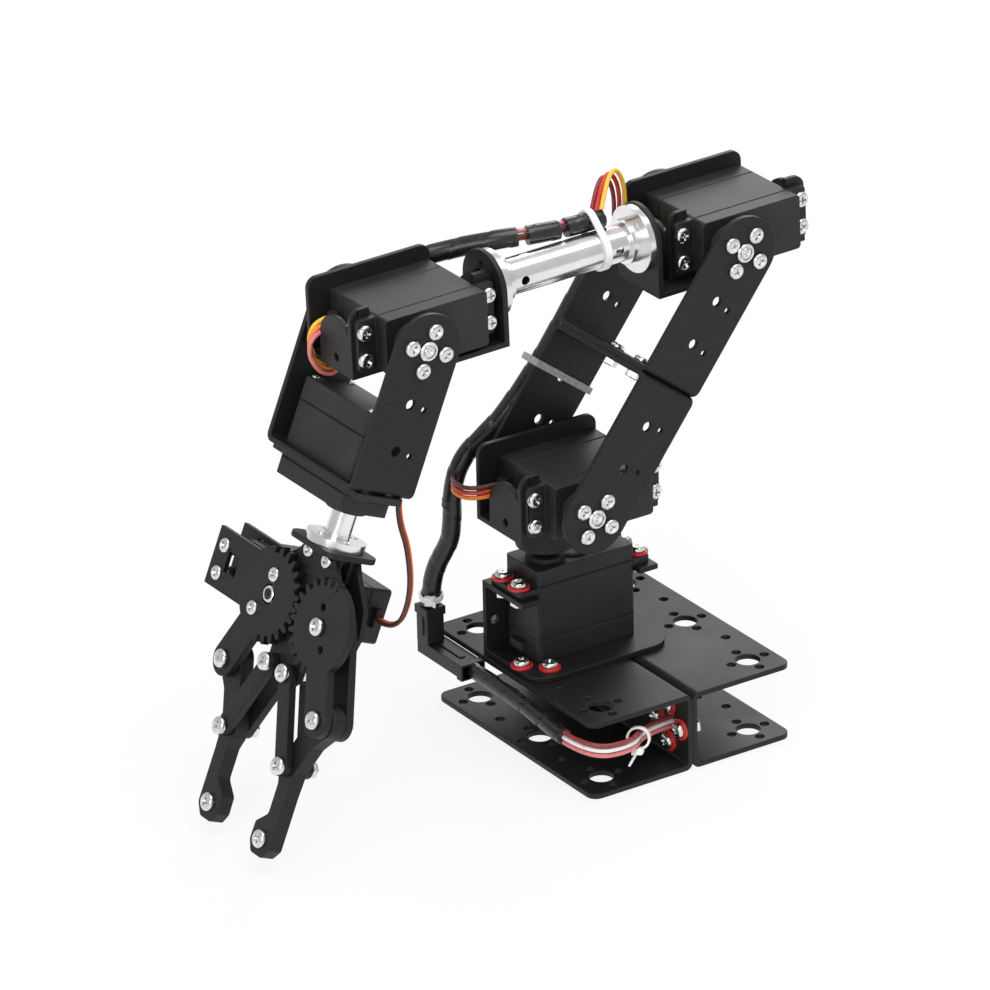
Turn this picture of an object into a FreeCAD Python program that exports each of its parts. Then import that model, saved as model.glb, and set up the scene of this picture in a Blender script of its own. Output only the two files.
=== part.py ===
import FreeCAD, Part
import math
import os
import re
from FreeCAD import Placement, Rotation, Vector

# A desktop robot arm with a claw gripper.  Six servos: base turn, shoulder, elbow,
# wrist pitch, wrist roll and claw.  Lengths are millimetres and angles are degrees.
# World frame: origin at the middle of the base underside, +Z up, +X the way the arm
# reaches, +Y the arm's left side.

DIMS = (
    # base: two bent channels lying back to back
    ("base_width", 98.0), ("channel_depth", 42.0), ("base_height", 29.0), ("sheet", 2.0),
    ("base_corner", 4.0), ("bend", 3.0), ("row_x", 31.0), ("row_pitch", 38.0),
    ("lone_hole_x", 35.0), ("big_hole", 8.5), ("small_hole", 3.2), ("ring_radius", 7.0),
    # servo, in its own frame: the shaft stands at the origin and points up
    ("servo_long", 40.7), ("servo_wide", 20.0), ("servo_tall", 35.0), ("shaft_end", 10.15),
    ("ear_span", 54.5), ("ear_wide", 19.0), ("ear_base", 26.0), ("ear_thick", 2.5),
    ("ear_hole", 4.4), ("ear_pitch_long", 49.5), ("ear_pitch_wide", 10.0), ("boss_radius", 7.0),
    ("boss_tall", 1.5), ("shaft_radius", 3.0), ("shaft_foot", 29.0), ("spline_top", 42.0),
    ("seam_level", 8.0), ("seam_cut", 0.5), ("seam_deep", 0.3), ("case_round", 1.5),
    ("relief_wide", 7.0), ("relief_tall", 3.0), ("relief_long", 3.0), ("relief_base", 3.0),
    ("run_gap", 0.05), ("fit_gap", 0.4), ("pivot_gap", 0.3),
    # horn discs and pivots
    ("horn_radius", 10.5), ("horn_thick", 3.0), ("horn_face", 43.0), ("hub_radius", 4.5),
    ("journal_radius", 4.0), ("bearing_radius", 6.5), ("bearing_flange", 7.5),
    ("bearing_lip", 1.0), ("cap_radius", 5.5), ("cap_thick", 1.6), ("cap_gap", 0.4),
    # base servo and the shoulder above it
    ("yaw_x", 22.0), ("yaw_y", -8.0), ("bracket_long", 57.0), ("bracket_thick", 25.0),
    ("foot_wide", 34.0), ("foot_round", 8.0), ("turntable_tall", 5.5), ("turntable_radius", 12.0),
    ("arm_shift", 5.0),
    # arm links and joint brackets
    ("link_length", 52.0), ("link_wide", 26.0), ("link_inside", 50.0), ("bolt_pitch", 15.0),
    ("back_wall", -18.0), ("end_wall_wide", 20.0), ("end_wall_top", 7.5), ("back_wall_long", 49.0),
    ("back_wall_top", 15.5), ("corner_round", 4.0),
    # forearm tube and its end brackets
    ("forearm_length", 129.0), ("tube_radius", 6.5), ("tube_wall", 1.0), ("tube_shift", 1.5), ("tube_rise", 4.5),
    ("tube_plate_wide", 25.0), ("elbow_plate", 27.0), ("tube_leg", 42.0),
    ("flange_radius", 12.0), ("flange_thick", 2.5), ("collar_radius", 8.0), ("collar_long", 4.0),
    # wrist roll and claw, measured down from the wrist pitch axis
    ("roll_horn_face", 49.0), ("mount_half", 13.5), ("mount_deep", 11.0), ("mount_round", 5.0), ("mount_thick", 2.0),
    ("mount_flange", 9.0), ("mount_wide", 18.0), ("mount_bolt_drop", 2.6), ("gear_level", 100.0), ("gear_half", 16.0), ("gear_teeth", 24.0),
    ("gear_thick", 3.0), ("gear_front", 8.0), ("smooth_radius", 16.5), ("lever_wide", 12.0),
    ("lever_out", 13.2), ("lever_down", 28.6), ("link_in", 10.4), ("link_below", 20.6),
    ("claw_link_wide", 6.5), ("claw_plate", 2.0), ("layer_gap", 0.3), ("plate_space", 7.0),
    ("finger_thick", 5.4), ("finger_head", 6.25), ("finger_knee", 4.4), ("claw_bolt", 2.0),
    ("bolt_head", 3.3), ("bolt_head_thick", 2.0), ("nut_thick", 2.4), ("mount_bolt_half", 5.6),
    ("ear_arm", 41.0), ("front_box_half", 10.5), ("back_box_half", 12.5),
    # screws
    ("screw_radius", 1.45), ("screw_head", 2.9), ("screw_head_thick", 1.9), ("washer_radius", 3.9),
    ("washer_thick", 0.9), ("nut_radius", 3.1),
    # cables: spiral sleeves, servo leads of three wires, plugs and ties
    ("sleeve_radius", 3.5), ("front_sleeve_radius", 3.0), ("wire_radius", 0.8), ("wire_pitch", 1.9),
    ("bend_share", 0.45), ("tie_thick", 1.0), ("tie_wide", 2.5), ("arm_tie_level", 35.0),
    ("tube_tie_x", 42.0),
    # pose of the arm as stored
    ("upper_lean", 37.0), ("forearm_drop", 1.5), ("wrist_tilt", 22.5),
)

doc = FreeCAD.newDocument("claw_arm")
sheet = doc.addObject("Spreadsheet::Sheet", "dims")
for row, (alias, number) in enumerate(DIMS, start=1):
    sheet.set(f"A{row}", alias)
    sheet.set(f"B{row}", str(number))
    sheet.setAlias(f"B{row}", alias)
doc.recompute()

ALIASES = {alias for alias, number in DIMS}
SIZE = {alias: float(sheet.get(alias)) for alias in ALIASES}
NODES = []


def bound(text):
    """The text of a size, with each name pointed at its cell in the sheet."""
    return re.sub(r"[a-z_]+", lambda m: "dims." + m.group(0) if m.group(0) in ALIASES else m.group(0), str(text))


def value(text):
    """The number that a size text stands for."""
    return float(sheet.evalExpression(bound(text)))


def bind(thing, sizes):
    """Tie properties of an object to the sheet."""
    for prop, text in sizes.items():
        thing.setExpression(prop, bound(text))
    return thing


def box(x, y, z):
    """A block between two places on each axis, each a pair of size texts."""
    block = doc.addObject("Part::Box", "block")
    ends = {"x": x, "y": y, "z": z}
    bind(block, {
        "Length": f"({x[1]}) - ({x[0]})",
        "Width": f"({y[1]}) - ({y[0]})",
        "Height": f"({z[1]}) - ({z[0]})",
    })
    return bind(block, {f"Placement.Base.{axis}": pair[0] for axis, pair in ends.items()})


TURNS = {
    "x": Rotation(Vector(0, 1, 0), 90),
    "y": Rotation(Vector(1, 0, 0), -90),
    "z": Rotation(),
}


def rod(radius, start, end, axis, place):
    """A cylinder along an axis, from start to end, at a place on the other two axes."""
    bar = doc.addObject("Part::Cylinder", "bar")
    bar.Placement = Placement(Vector(), TURNS[axis])
    bind(bar, {"Radius": radius, "Height": f"({end}) - ({start})", f"Placement.Base.{axis}": start})
    others = [name for name in "xyz" if name != axis]
    return bind(bar, {f"Placement.Base.{name}": text for name, text in zip(others, place)})


def fuse(*parts):
    """One solid from several."""
    if len(parts) == 1:
        return parts[0]
    whole = doc.addObject("Part::MultiFuse", "joined")
    whole.Shapes = list(parts)
    whole.Refine = True
    return whole


def cut(base, *tools):
    """The base less its cuts."""
    rest = doc.addObject("Part::Cut", "trimmed")
    rest.Base = base
    rest.Tool = fuse(*tools)
    rest.Refine = True
    return rest


def common(first, second):
    """What two solids share."""
    shared = doc.addObject("Part::Common", "shared")
    shared.Base = first
    shared.Tool = second
    return shared


def round_edges(base, radius, chosen):
    """Round the chosen edges of a solid."""
    doc.recompute()
    size = value(radius)
    rounding = doc.addObject("Part::Fillet", "rounded")
    rounding.Base = base
    rounding.Edges = [(number, size, size) for number, edge in enumerate(base.Shape.Edges, start=1) if chosen(edge)]
    return rounding


def straight_along(edge, axis):
    """Whether an edge is a straight one along an axis."""
    if edge.Curve.TypeId != "Part::GeomLine":
        return False
    return abs(getattr(edge.Curve.Direction, axis)) > 0.999


def edges_at(axis, **places):
    """A test for straight edges along an axis, at given places on other axes."""
    def chosen(edge):
        if not straight_along(edge, axis):
            return False
        middle = edge.CenterOfMass
        return all(any(abs(getattr(middle, name) - spot) < 0.01 for spot in spots) for name, spots in places.items())
    return chosen


def solid(shape):
    """A piece whose outline is drawn by arcs and curves."""
    piece = doc.addObject("Part::Feature", "outline")
    piece.Shape = shape
    return piece


def node(name, thing, frame=None):
    """Name a finished piece and put it in its place."""
    thing.Label = name
    if frame is not None:
        thing.Placement = frame.multiply(thing.Placement)
    NODES.append(thing)
    return thing


def several(pieces):
    """Like pieces kept together, each a solid of its own."""
    group = doc.addObject("Part::Compound", "group")
    group.Links = pieces
    return group


def place(thing, frame):
    """A piece moved into a frame, held in a group so that its own bound place stays."""
    held = several([thing])
    held.Placement = frame
    return held


def ring_holes(axis, start, end, middle, big="big_hole/2"):
    """The hole pattern of this kit: one large hole with four small ones round it."""
    one, two = middle
    holes = [rod(big, start, end, axis, middle)]
    for shift in ("ring_radius", "-ring_radius"):
        holes.append(rod("small_hole/2", start, end, axis, (f"{one} + {shift}", two)))
        holes.append(rod("small_hole/2", start, end, axis, (one, f"{two} + {shift}")))
    return holes


# Frames of the moving parts, each turned about the Y axis

def tilted(degrees, at):
    return Placement(at, Rotation(Vector(0, 1, 0), degrees))


def along(frame, x, y, z):
    """A point of a frame as a world point."""
    return frame.multVec(Vector(x, y, z))


yaw_foot = SIZE["base_height"] + SIZE["sheet"]
table_level = yaw_foot + SIZE["horn_face"]
shoulder_z = table_level + SIZE["turntable_tall"] + SIZE["bracket_thick"] / 2
mid_y = SIZE["yaw_y"] + SIZE["arm_shift"]
yaw_frame = Placement(Vector(SIZE["yaw_x"], SIZE["yaw_y"], yaw_foot), Rotation())
shoulder_frame = Placement(Vector(SIZE["yaw_x"], mid_y, shoulder_z), Rotation())
upper_frame = tilted(-SIZE["upper_lean"], shoulder_frame.Base)
elbow_point = along(upper_frame, 0, 0, 2 * SIZE["link_length"])
elbow_frame = tilted(SIZE["forearm_drop"], elbow_point)
elbow_link_frame = Placement(elbow_point, upper_frame.Rotation.multiply(Rotation(Vector(1, 0, 0), 180)))
wrist_point = along(elbow_frame, SIZE["forearm_length"], 0, 0)
wrist_frame = tilted(SIZE["forearm_drop"], wrist_point)
hand_frame = tilted(-SIZE["wrist_tilt"], wrist_point)
hand_link_frame = Placement(wrist_point, hand_frame.Rotation.multiply(Rotation(Vector(1, 0, 0), 180)))
body_middle = SIZE["servo_long"] / 2 - SIZE["shaft_end"]
claw_frame = Placement(along(hand_frame, 0, body_middle, 0), hand_frame.Rotation)


# Outlines and routes with rounded corners

def corner_arc(before, corner, after, radius):
    """The arc that rounds a corner, as its entry, its middle and its exit."""
    back = (before - corner).normalize()
    ahead = (after - corner).normalize()
    half_turn = (math.pi - back.getAngle(ahead)) / 2
    reach = radius * math.tan(half_turn)
    inward = (back + ahead).normalize()
    centre = corner + inward * (radius / math.cos(half_turn))
    return corner + back * reach, centre - inward * radius, corner + ahead * reach


def rounded(points, radii):
    """A closed outline, each corner rounded by its own radius, or sharp where that is 0."""
    arcs = []
    for index, (corner, radius) in enumerate(zip(points, radii)):
        after = points[(index + 1) % len(points)]
        arcs.append(corner_arc(points[index - 1], corner, after, radius) if radius else (corner, corner, corner))
    edges = []
    for index, (entry, middle, leave) in enumerate(arcs):
        if radii[index]:
            edges.append(Part.Arc(entry, middle, leave).toShape())
        edges.append(Part.LineSegment(leave, arcs[(index + 1) % len(arcs)][0]).toShape())
    return Part.Wire(edges)


def bend_radius(before, corner, after):
    """The radius of a route's bend: a fixed share of the shorter run on either side."""
    back, ahead = before - corner, after - corner
    half_turn = (math.pi - back.getAngle(ahead)) / 2
    return SIZE["bend_share"] * min(back.Length, ahead.Length) / math.tan(half_turn)


def cord(points, radius):
    """A round cord along a route of straight runs joined by arcs."""
    bends = [bend_radius(*three) for three in zip(points, points[1:], points[2:])]
    edges = []
    start = points[0]
    for three, bend in zip(zip(points, points[1:], points[2:]), bends):
        entry, middle, leave = corner_arc(*three, bend)
        edges.append(Part.LineSegment(start, entry).toShape())
        edges.append(Part.Arc(entry, middle, leave).toShape())
        start = leave
    edges.append(Part.LineSegment(start, points[-1]).toShape())
    route = Part.Wire(edges)
    section = Part.Wire([Part.makeCircle(radius, points[0], points[1] - points[0])])
    whole = route.makePipeShell([section], True, True)
    share = whole.Volume / (math.pi * radius * radius * route.Length)
    print("cord", round(route.Length, 1), "long, bends", [round(bend, 1) for bend in bends], "volume", round(share, 3))
    return whole


def wires(points, step):
    """Three wires side by side; each starts level with the first."""
    first_run = (points[1] - points[0]).normalize()
    found = []
    for count in (-1, 0, 1):
        shift = step * count
        level = shift - first_run * shift.dot(first_run)
        found.append(cord([points[0] + level] + [point + shift for point in points[1:]], SIZE["wire_radius"]))
    return found


# Base channels

def channel(name, turn):
    """A bent sheet lying on its side, with its web upright at x = 0 and open at the front."""
    half = "base_width/2"
    outer = box(("0", "channel_depth"), (f"-{half}", half), ("0", "base_height"))
    outer = round_edges(outer, "bend", edges_at("y", x=[0.0]))
    outer = round_edges(outer, "base_corner", edges_at("z", x=[SIZE["channel_depth"]]))
    inside = box(("sheet", "channel_depth + 1"), (f"-{half} - 1", f"{half} + 1"), ("sheet", "base_height - sheet"))
    inside = round_edges(inside, "bend - sheet", edges_at("y", x=[SIZE["sheet"]]))
    cuts = [inside]
    for spot in ("0", "row_pitch", "-row_pitch"):
        cuts += ring_holes("z", "-1", "base_height + 1", ("row_x", spot))
        cuts += ring_holes("x", "-1", "sheet + 1", (spot, "base_height/2"))
    for spot in ("row_pitch/2", "-row_pitch/2"):
        cuts.append(rod("small_hole/2", "-1", "base_height + 1", "z", ("lone_hole_x", spot)))
    return node(name, cut(outer, *cuts), Placement(Vector(), Rotation(Vector(0, 0, 1), turn)))


channel("base_front", 0)
channel("base_rear", 180)


# Servo, horn, bearing and pivot, each made once in its own frame and then placed

def servo():
    """A standard servo with its shaft axis at the origin, pointing up, and its foot at z = 0."""
    tail = "shaft_end - servo_long"
    wide = "servo_wide/2"
    case = box((tail, "shaft_end"), (f"-{wide}", wide), ("0", "servo_tall"))
    case = round_edges(case, "case_round", lambda edge: straight_along(edge, "z"))
    middle = "(shaft_end - servo_long/2)"
    ears = box((f"{middle} - ear_span/2", f"{middle} + ear_span/2"), ("-ear_wide/2", "ear_wide/2"),
               ("ear_base", "ear_base + ear_thick"))
    ears = round_edges(ears, "case_round", lambda edge: straight_along(edge, "z"))
    boss = rod("boss_radius", "servo_tall - 1", "servo_tall + boss_tall", "z", ("0", "0"))
    idler = rod("boss_radius", "servo_tall - 1", "servo_tall + boss_tall/2", "z", ("-boss_radius*1.6", "0"))
    relief = box(("shaft_end - 1", "shaft_end + relief_long"), ("-relief_wide/2", "relief_wide/2"),
                 ("relief_base", "relief_base + relief_tall"))
    whole = fuse(case, ears, boss, idler, relief)
    cuts = [rod("shaft_radius + run_gap", "shaft_foot", "servo_tall + boss_tall + 1", "z", ("0", "0"))]
    for end in ("ear_pitch_long/2", "-ear_pitch_long/2"):
        for side in ("ear_pitch_wide/2", "-ear_pitch_wide/2"):
            cuts.append(rod("ear_hole/2", "ear_base - 1", "ear_base + ear_thick + 1", "z", (f"{middle} + {end}", side)))
    for level in ("seam_level", "ear_base + ear_thick"):
        rim = box((f"{tail} - 1", "shaft_end + 1"), (f"-{wide} - 1", f"{wide} + 1"), (level, f"{level} + seam_cut"))
        core = box((f"{tail} + seam_deep", "shaft_end - seam_deep"), (f"-{wide} + seam_deep", f"{wide} - seam_deep"),
                   (f"{level} - 1", f"{level} + seam_cut + 1"))
        cuts.append(cut(rim, core))
    return cut(whole, *cuts)


def horn(face="horn_face", thick="horn_thick", shaft_top=None, hub=True):
    """A disc horn on its splined shaft, with four screw holes."""
    parts = [
        rod("shaft_radius", "shaft_foot + run_gap*10", shaft_top or f"{face} - 1", "z", ("0", "0")),
        rod("horn_radius", f"{face} - {thick}", face, "z", ("0", "0")),
    ]
    if hub:
        parts.append(rod("hub_radius", "servo_tall + boss_tall + fit_gap", f"{face} - 1", "z", ("0", "0")))
    cuts = []
    for one, two in (("ring_radius", "0"), ("-ring_radius", "0"), ("0", "ring_radius"), ("0", "-ring_radius")):
        cuts.append(rod("screw_radius", f"{face} - {thick} - 1", f"{face} + 1", "z", (one, two)))
    return cut(fuse(*parts), *cuts)


def side_servo(joint_frame):
    """The frame of a servo whose shaft lies along Y, seated on its bracket's back wall."""
    lie = Placement(Vector(0, SIZE["back_wall"], 0), Rotation(Vector(1, 0, 0), -90))
    return joint_frame.multiply(lie)


ARM_INNER = "link_inside/2"
ARM_OUTER = "(link_inside/2 + sheet)"


def pivot():
    """The idle pivot on a bracket's back wall, opposite the horn."""
    seat = "back_wall - sheet"
    shoulder = f"-{ARM_INNER} + bearing_lip + pivot_gap"
    tip = f"-{ARM_OUTER} - cap_gap"
    return fuse(
        rod("bearing_radius", shoulder, seat, "y", ("0", "0")),
        rod("journal_radius", tip, shoulder, "y", ("0", "0")),
        rod("cap_radius", f"{tip} - cap_thick", tip, "y", ("0", "0")),
    )


def bearing():
    """The flanged bearing in a link's far arm."""
    lip = f"-{ARM_INNER} + bearing_lip"
    return cut(
        fuse(
            rod("bearing_flange", f"-{ARM_INNER}", lip, "y", ("0", "0")),
            rod("bearing_radius", f"-{ARM_OUTER}", f"-{ARM_INNER}", "y", ("0", "0")),
        ),
        rod("journal_radius + run_gap", f"-{ARM_OUTER} - 1", f"{lip} + 1", "y", ("0", "0")),
    )


def arm_link(name, frame, far_side, window=False):
    """A U-shaped link: two round-ended arms on the Y sides, joined by a web at z = link_length."""
    half = "link_wide/2"
    slab = box((f"-{half}", half), (f"-{ARM_OUTER}", ARM_OUTER), ("0", "link_length"))
    outer = value(ARM_OUTER)
    slab = round_edges(slab, "bend", edges_at("x", z=[SIZE["link_length"]], y=[outer, -outer]))
    ends = rod(half, f"-{ARM_OUTER}", ARM_OUTER, "y", ("0", "0"))
    inside = box((f"-{half} - 1", f"{half} + 1"), (f"-{ARM_INNER}", ARM_INNER), (f"-{half} - 1", "link_length - sheet"))
    inner = value(ARM_INNER)
    inside = round_edges(inside, "bend - sheet",
                         edges_at("x", z=[SIZE["link_length"] - SIZE["sheet"]], y=[inner, -inner]))
    cuts = [inside]
    far_span = (f"{far_side}*(link_inside/2 + sheet/2) - 2", f"{far_side}*(link_inside/2 + sheet/2) + 2")
    near_span = (f"-{far_side}*(link_inside/2 + sheet/2) - 2", f"-{far_side}*(link_inside/2 + sheet/2) + 2")
    cuts.append(rod("bearing_radius", far_span[0], far_span[1], "y", ("0", "0")))
    cuts.append(rod("hub_radius - 1", near_span[0], near_span[1], "y", ("0", "0")))
    for one, two in (("ring_radius", "0"), ("-ring_radius", "0"), ("0", "ring_radius"), ("0", "-ring_radius")):
        cuts.append(rod("screw_radius", near_span[0], near_span[1], "y", (one, two)))
    for level in ("link_length*0.37", "link_length*0.69"):
        cuts.append(rod("small_hole/2 + 0.2", f"-{ARM_OUTER} - 1", f"{ARM_OUTER} + 1", "y", ("0", level)))
        cuts.append(rod("small_hole/3", f"-{ARM_OUTER} - 1", f"{ARM_OUTER} + 1", "y", ("-ring_radius + 1", f"{level} + 1")))
    if window:
        cuts.append(box(("-servo_wide/2 - fit_gap", "servo_wide/2 + fit_gap"),
                        ("-servo_long/2 - fit_gap", "servo_long/2 + fit_gap"), ("link_length - 3", "link_length + 1")))
    else:
        cuts.append(rod("big_hole/2", "link_length - 3", "link_length + 1", "z", ("0", "0")))
        for side in ("bolt_pitch/2", "-bolt_pitch/2"):
            cuts.append(rod("screw_radius", "link_length - 3", "link_length + 1", "z", ("0", side)))
    return node(name, cut(fuse(slab, ends), *cuts), frame)


# Bracket of the base servo: a foot plate on the channel, one upright wall and two ear ledges

def yaw_bracket():
    middle = "(shaft_end - servo_long/2)"
    front = f"{middle} + bracket_long/2"
    back = f"{middle} - bracket_long/2"
    far = "-bracket_thick/2"
    foot = box((back, front), (far, f"{far} + foot_wide"), ("-sheet", "0"))
    edge = value(f"{far} + foot_wide")
    foot = round_edges(foot, "foot_round", edges_at("z", y=[edge]))
    wall = box((back, front), (far, f"{far} + sheet"), ("-sheet", "ear_base"))
    ledge_front = box(("shaft_end + fit_gap", front), (far, f"{far} + bracket_thick"), ("ear_base - sheet", "ear_base"))
    ledge_back = box((back, "shaft_end - servo_long - fit_gap"), (far, f"{far} + bracket_thick"),
                     ("ear_base - sheet", "ear_base"))
    cuts = []
    for end in ("ear_pitch_long/2", "-ear_pitch_long/2"):
        for side in ("ear_pitch_wide/2", "-ear_pitch_wide/2"):
            cuts.append(rod("screw_radius", "ear_base - sheet - 1", "ear_base + 1", "z", (f"{middle} + {end}", side)))
    for end in ("ear_pitch_long/2", "-ear_pitch_long/2"):
        cuts.append(rod("small_hole/2", f"{far} - 1", f"{far} + sheet + 1", "y", (f"{middle} + {end}", "ear_base*0.4")))
    for one, two in FOOT_SCREWS:
        cuts.append(rod("screw_radius", "-sheet - 1", "1", "z", (one, two)))
    return node("yaw_bracket", cut(fuse(foot, wall, ledge_front, ledge_back), *cuts), yaw_frame)


# the foot is held through the channel's middle hole pattern, at two of its small holes
FOOT_SCREWS = (
    ("row_x + ring_radius - yaw_x", "-yaw_y"),
    ("row_x - yaw_x", "ring_radius - yaw_y"),
    ("row_x - yaw_x - ring_radius", "-yaw_y"),
)
yaw_bracket()
node("yaw_servo", servo(), yaw_frame)
node("yaw_horn", horn(), yaw_frame)


# Joint brackets: shoulder, elbow and wrist share one pressed part

def joint_bracket(name, frame):
    """A pressed bracket round a servo that lies along Y, with its axis at the origin."""
    middle = "(shaft_end - servo_long/2)"
    front = f"{middle} + bracket_long/2"
    back = f"{middle} - bracket_long/2"
    low = "-bracket_thick/2"
    high = "bracket_thick/2"
    wall_back = "back_wall - sheet"
    seat = "(back_wall + ear_base)"
    floor = box((back, front), (wall_back, seat), (low, f"{low} + sheet"))
    rear = box((f"{front} - back_wall_long", front), (wall_back, "back_wall"), (low, "back_wall_top"))
    rear = round_edges(rear, "corner_round", edges_at("y", z=[value("back_wall_top")]))
    parts = [floor, rear]
    arch = "end_wall_wide/2"
    arch_y = f"({seat} - {arch})"
    arch_z = f"(end_wall_top - {arch})"
    for start, end, inner in ((f"{front} - sheet", front, "shaft_end + fit_gap"),
                              (back, f"{back} + sheet", "shaft_end - servo_long - fit_gap")):
        parts.append(box((start, end), (f"{seat} - end_wall_wide", seat), (low, arch_z)))
        parts.append(common(
            rod(arch, start, end, "x", (arch_y, arch_z)),
            box((start, end), (f"{seat} - end_wall_wide", seat), (arch_z, f"{arch_z} + {arch}")),
        ))
        outer = front if start != back else back
        span = (inner, front) if start != back else (back, inner)
        ear = box(span, (f"{seat} - sheet", seat), (low, high))
        parts.append(round_edges(ear, "corner_round", edges_at("y", z=[value(high)], x=[value(outer)])))
    cuts = []
    for end in ("ear_pitch_long/2", "-ear_pitch_long/2"):
        for side in ("ear_pitch_wide/2", "-ear_pitch_wide/2"):
            cuts.append(rod("screw_radius", f"{seat} - sheet - 1", f"{seat} + 1", "y", (f"{middle} + {end}", side)))
    cuts += ring_holes("z", f"{low} - 1", f"{low} + sheet + 1", ("0", "-arm_shift"), "hub_radius - 1")
    cuts += ring_holes("z", f"{low} - 1", f"{low} + sheet + 1", (f"{middle} + {middle}", "-arm_shift"))
    for start, end in ((f"{front} - sheet - 1", f"{front} + 1"), (f"{back} - 1", f"{back} + sheet + 1")):
        cuts.append(rod("screw_radius", start, end, "x", (arch_y, f"{low} + sheet + small_hole")))
    return node(name, cut(fuse(*parts), *cuts), frame)


elbow_turned = Placement(elbow_point, upper_frame.Rotation)
joint_bracket("shoulder_bracket", shoulder_frame)
joint_bracket("elbow_bracket", elbow_frame)
joint_bracket("wrist_bracket", wrist_frame)
node("shoulder_servo", servo(), side_servo(shoulder_frame))
node("forearm_servos", several([place(servo(), side_servo(frame)) for frame in (elbow_frame, wrist_frame)]))
node("shoulder_pivot", pivot(), shoulder_frame)
node("forearm_pivots", several([place(pivot(), frame) for frame in (elbow_frame, wrist_frame)]))
node("arm_horns", several([place(horn(), side_servo(frame)) for frame in (upper_frame, elbow_turned)]))
node("arm_bearings", several([place(bearing(), frame) for frame in (upper_frame, elbow_turned)]))
node("wrist_horn", horn(), side_servo(hand_frame))
node("wrist_bearing", bearing(), hand_frame)

turntable = cut(
    rod("turntable_radius", "horn_face", "horn_face + turntable_tall", "z", ("0", "0")),
    *[rod("screw_radius", "horn_face - 1", "horn_face + turntable_tall + 1", "z", spot) for spot in
      (("ring_radius", "0"), ("-ring_radius", "0"), ("0", "ring_radius"), ("0", "-ring_radius"))],
)
node("turntable", turntable, yaw_frame)

arm_link("lower_link", upper_frame, "-1")
arm_link("upper_link", elbow_link_frame, "1")
arm_link("wrist_link", hand_link_frame, "1", window=True)


# Forearm tube with its two end brackets

TUBE_AXIS = ("tube_shift", "tube_rise")

def tube_bracket(face, leg_end):
    """An upright plate with a round top that carries the tube, on a leg under the joint bracket."""
    half = "tube_plate_wide/2"
    low = "-bracket_thick/2 - sheet"
    side = ("tube_shift - tube_plate_wide/2", "tube_shift + tube_plate_wide/2")
    start, end = face
    plate = fuse(
        box((start, end), side, (low, "tube_rise")),
        common(rod(half, start, end, "x", TUBE_AXIS), box((start, end), side, ("tube_rise", f"tube_rise + {half}"))),
    )
    leg = box(leg_end, side, (low, f"{low} + sheet"))
    cuts = ring_holes("x", f"{start} - 1", f"{end} + 1", TUBE_AXIS, "tube_radius - tube_wall")
    return cut(fuse(plate, leg), *cuts)


BACK_END = "(shaft_end - servo_long/2 - bracket_long/2)"
elbow_upright = tube_bracket(("elbow_plate - sheet", "elbow_plate"), ("elbow_plate - tube_leg", "elbow_plate"))
wrist_upright = tube_bracket((f"{BACK_END} - sheet", BACK_END), (f"{BACK_END} - sheet", f"{BACK_END} - sheet + tube_leg"))
node("tube_brackets", several([place(elbow_upright, elbow_frame), place(wrist_upright, wrist_frame)]))
TUBE_START = "elbow_plate"
TUBE_END = f"(forearm_length + {BACK_END} - sheet)"
bore = rod("tube_radius - tube_wall", f"{TUBE_START} - 1", f"{TUBE_END} + 1", "x", TUBE_AXIS)
pin_holes = [
    rod("small_hole/2", "tube_shift", "tube_shift + tube_radius + 1", "y", (spot, "tube_rise"))
    for spot in (f"{TUBE_START} + flange_thick + collar_long + small_hole*1.5",
                 f"{TUBE_END} - flange_thick - collar_long - small_hole*1.5")
]
node("forearm_tube", cut(rod("tube_radius", TUBE_START, TUBE_END, "x", TUBE_AXIS), bore, *pin_holes), elbow_frame)


def tube_flange(start, way):
    """A turned flange that holds one end of the tube."""
    ends = {1: (start, f"{start} + flange_thick", f"{start} + flange_thick + collar_long"),
            -1: (start, f"{start} - flange_thick", f"{start} - flange_thick - collar_long")}[way]
    disc = sorted((ends[0], ends[1]), key=value)
    collar = sorted((ends[1], ends[2]), key=value)
    both = fuse(rod("flange_radius", disc[0], disc[1], "x", TUBE_AXIS),
                rod("collar_radius", collar[0], collar[1], "x", TUBE_AXIS))
    span = sorted((ends[0], ends[2]), key=value)
    return cut(both, rod("tube_radius", f"{span[0]} - 1", f"{span[1]} + 1", "x", TUBE_AXIS))


node("tube_flanges", several([tube_flange(TUBE_START, 1), tube_flange(TUBE_END, -1)]), elbow_frame)


# Wrist roll servo, hung in the wrist link's window with its shaft down

ROLL_FOOT = "(link_length - ear_base)"
roll_servo_frame = claw_frame.multiply(Placement(
    Vector(0, 0, -value(ROLL_FOOT)),
    Rotation(Vector(0, 1, 0), Vector(1, 0, 0), Vector(0, 0, -1), "ZXY"),
))
node("roll_servo", servo(), roll_servo_frame)
node("roll_horn", horn(face="roll_horn_face"), roll_servo_frame)

# Claw.  In its frame +X is the front, +Y its left finger's far side, and -Z the way it reaches.

MOUNT_TOP = f"({ROLL_FOOT} + roll_horn_face)"
FRONT_FACE = "(gear_front - gear_thick - layer_gap)"
FRONT_BACK = f"({FRONT_FACE} - claw_plate)"
BACK_FACE = f"({FRONT_BACK} - plate_space)"
BACK_BACK = f"({BACK_FACE} - claw_plate)"
GEAR_BACK = "(gear_front - gear_thick)"
FINGER_BACK = f"({FRONT_FACE} - finger_thick)"
REAR_FRONT = f"({FINGER_BACK} - layer_gap)"
REAR_BACK = f"({BACK_FACE} + layer_gap)"


def claw_point(out, down, front=0.0):
    """A point of the claw's frame from its distance out, down and to the front."""
    return Vector(front, out, -down)


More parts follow.
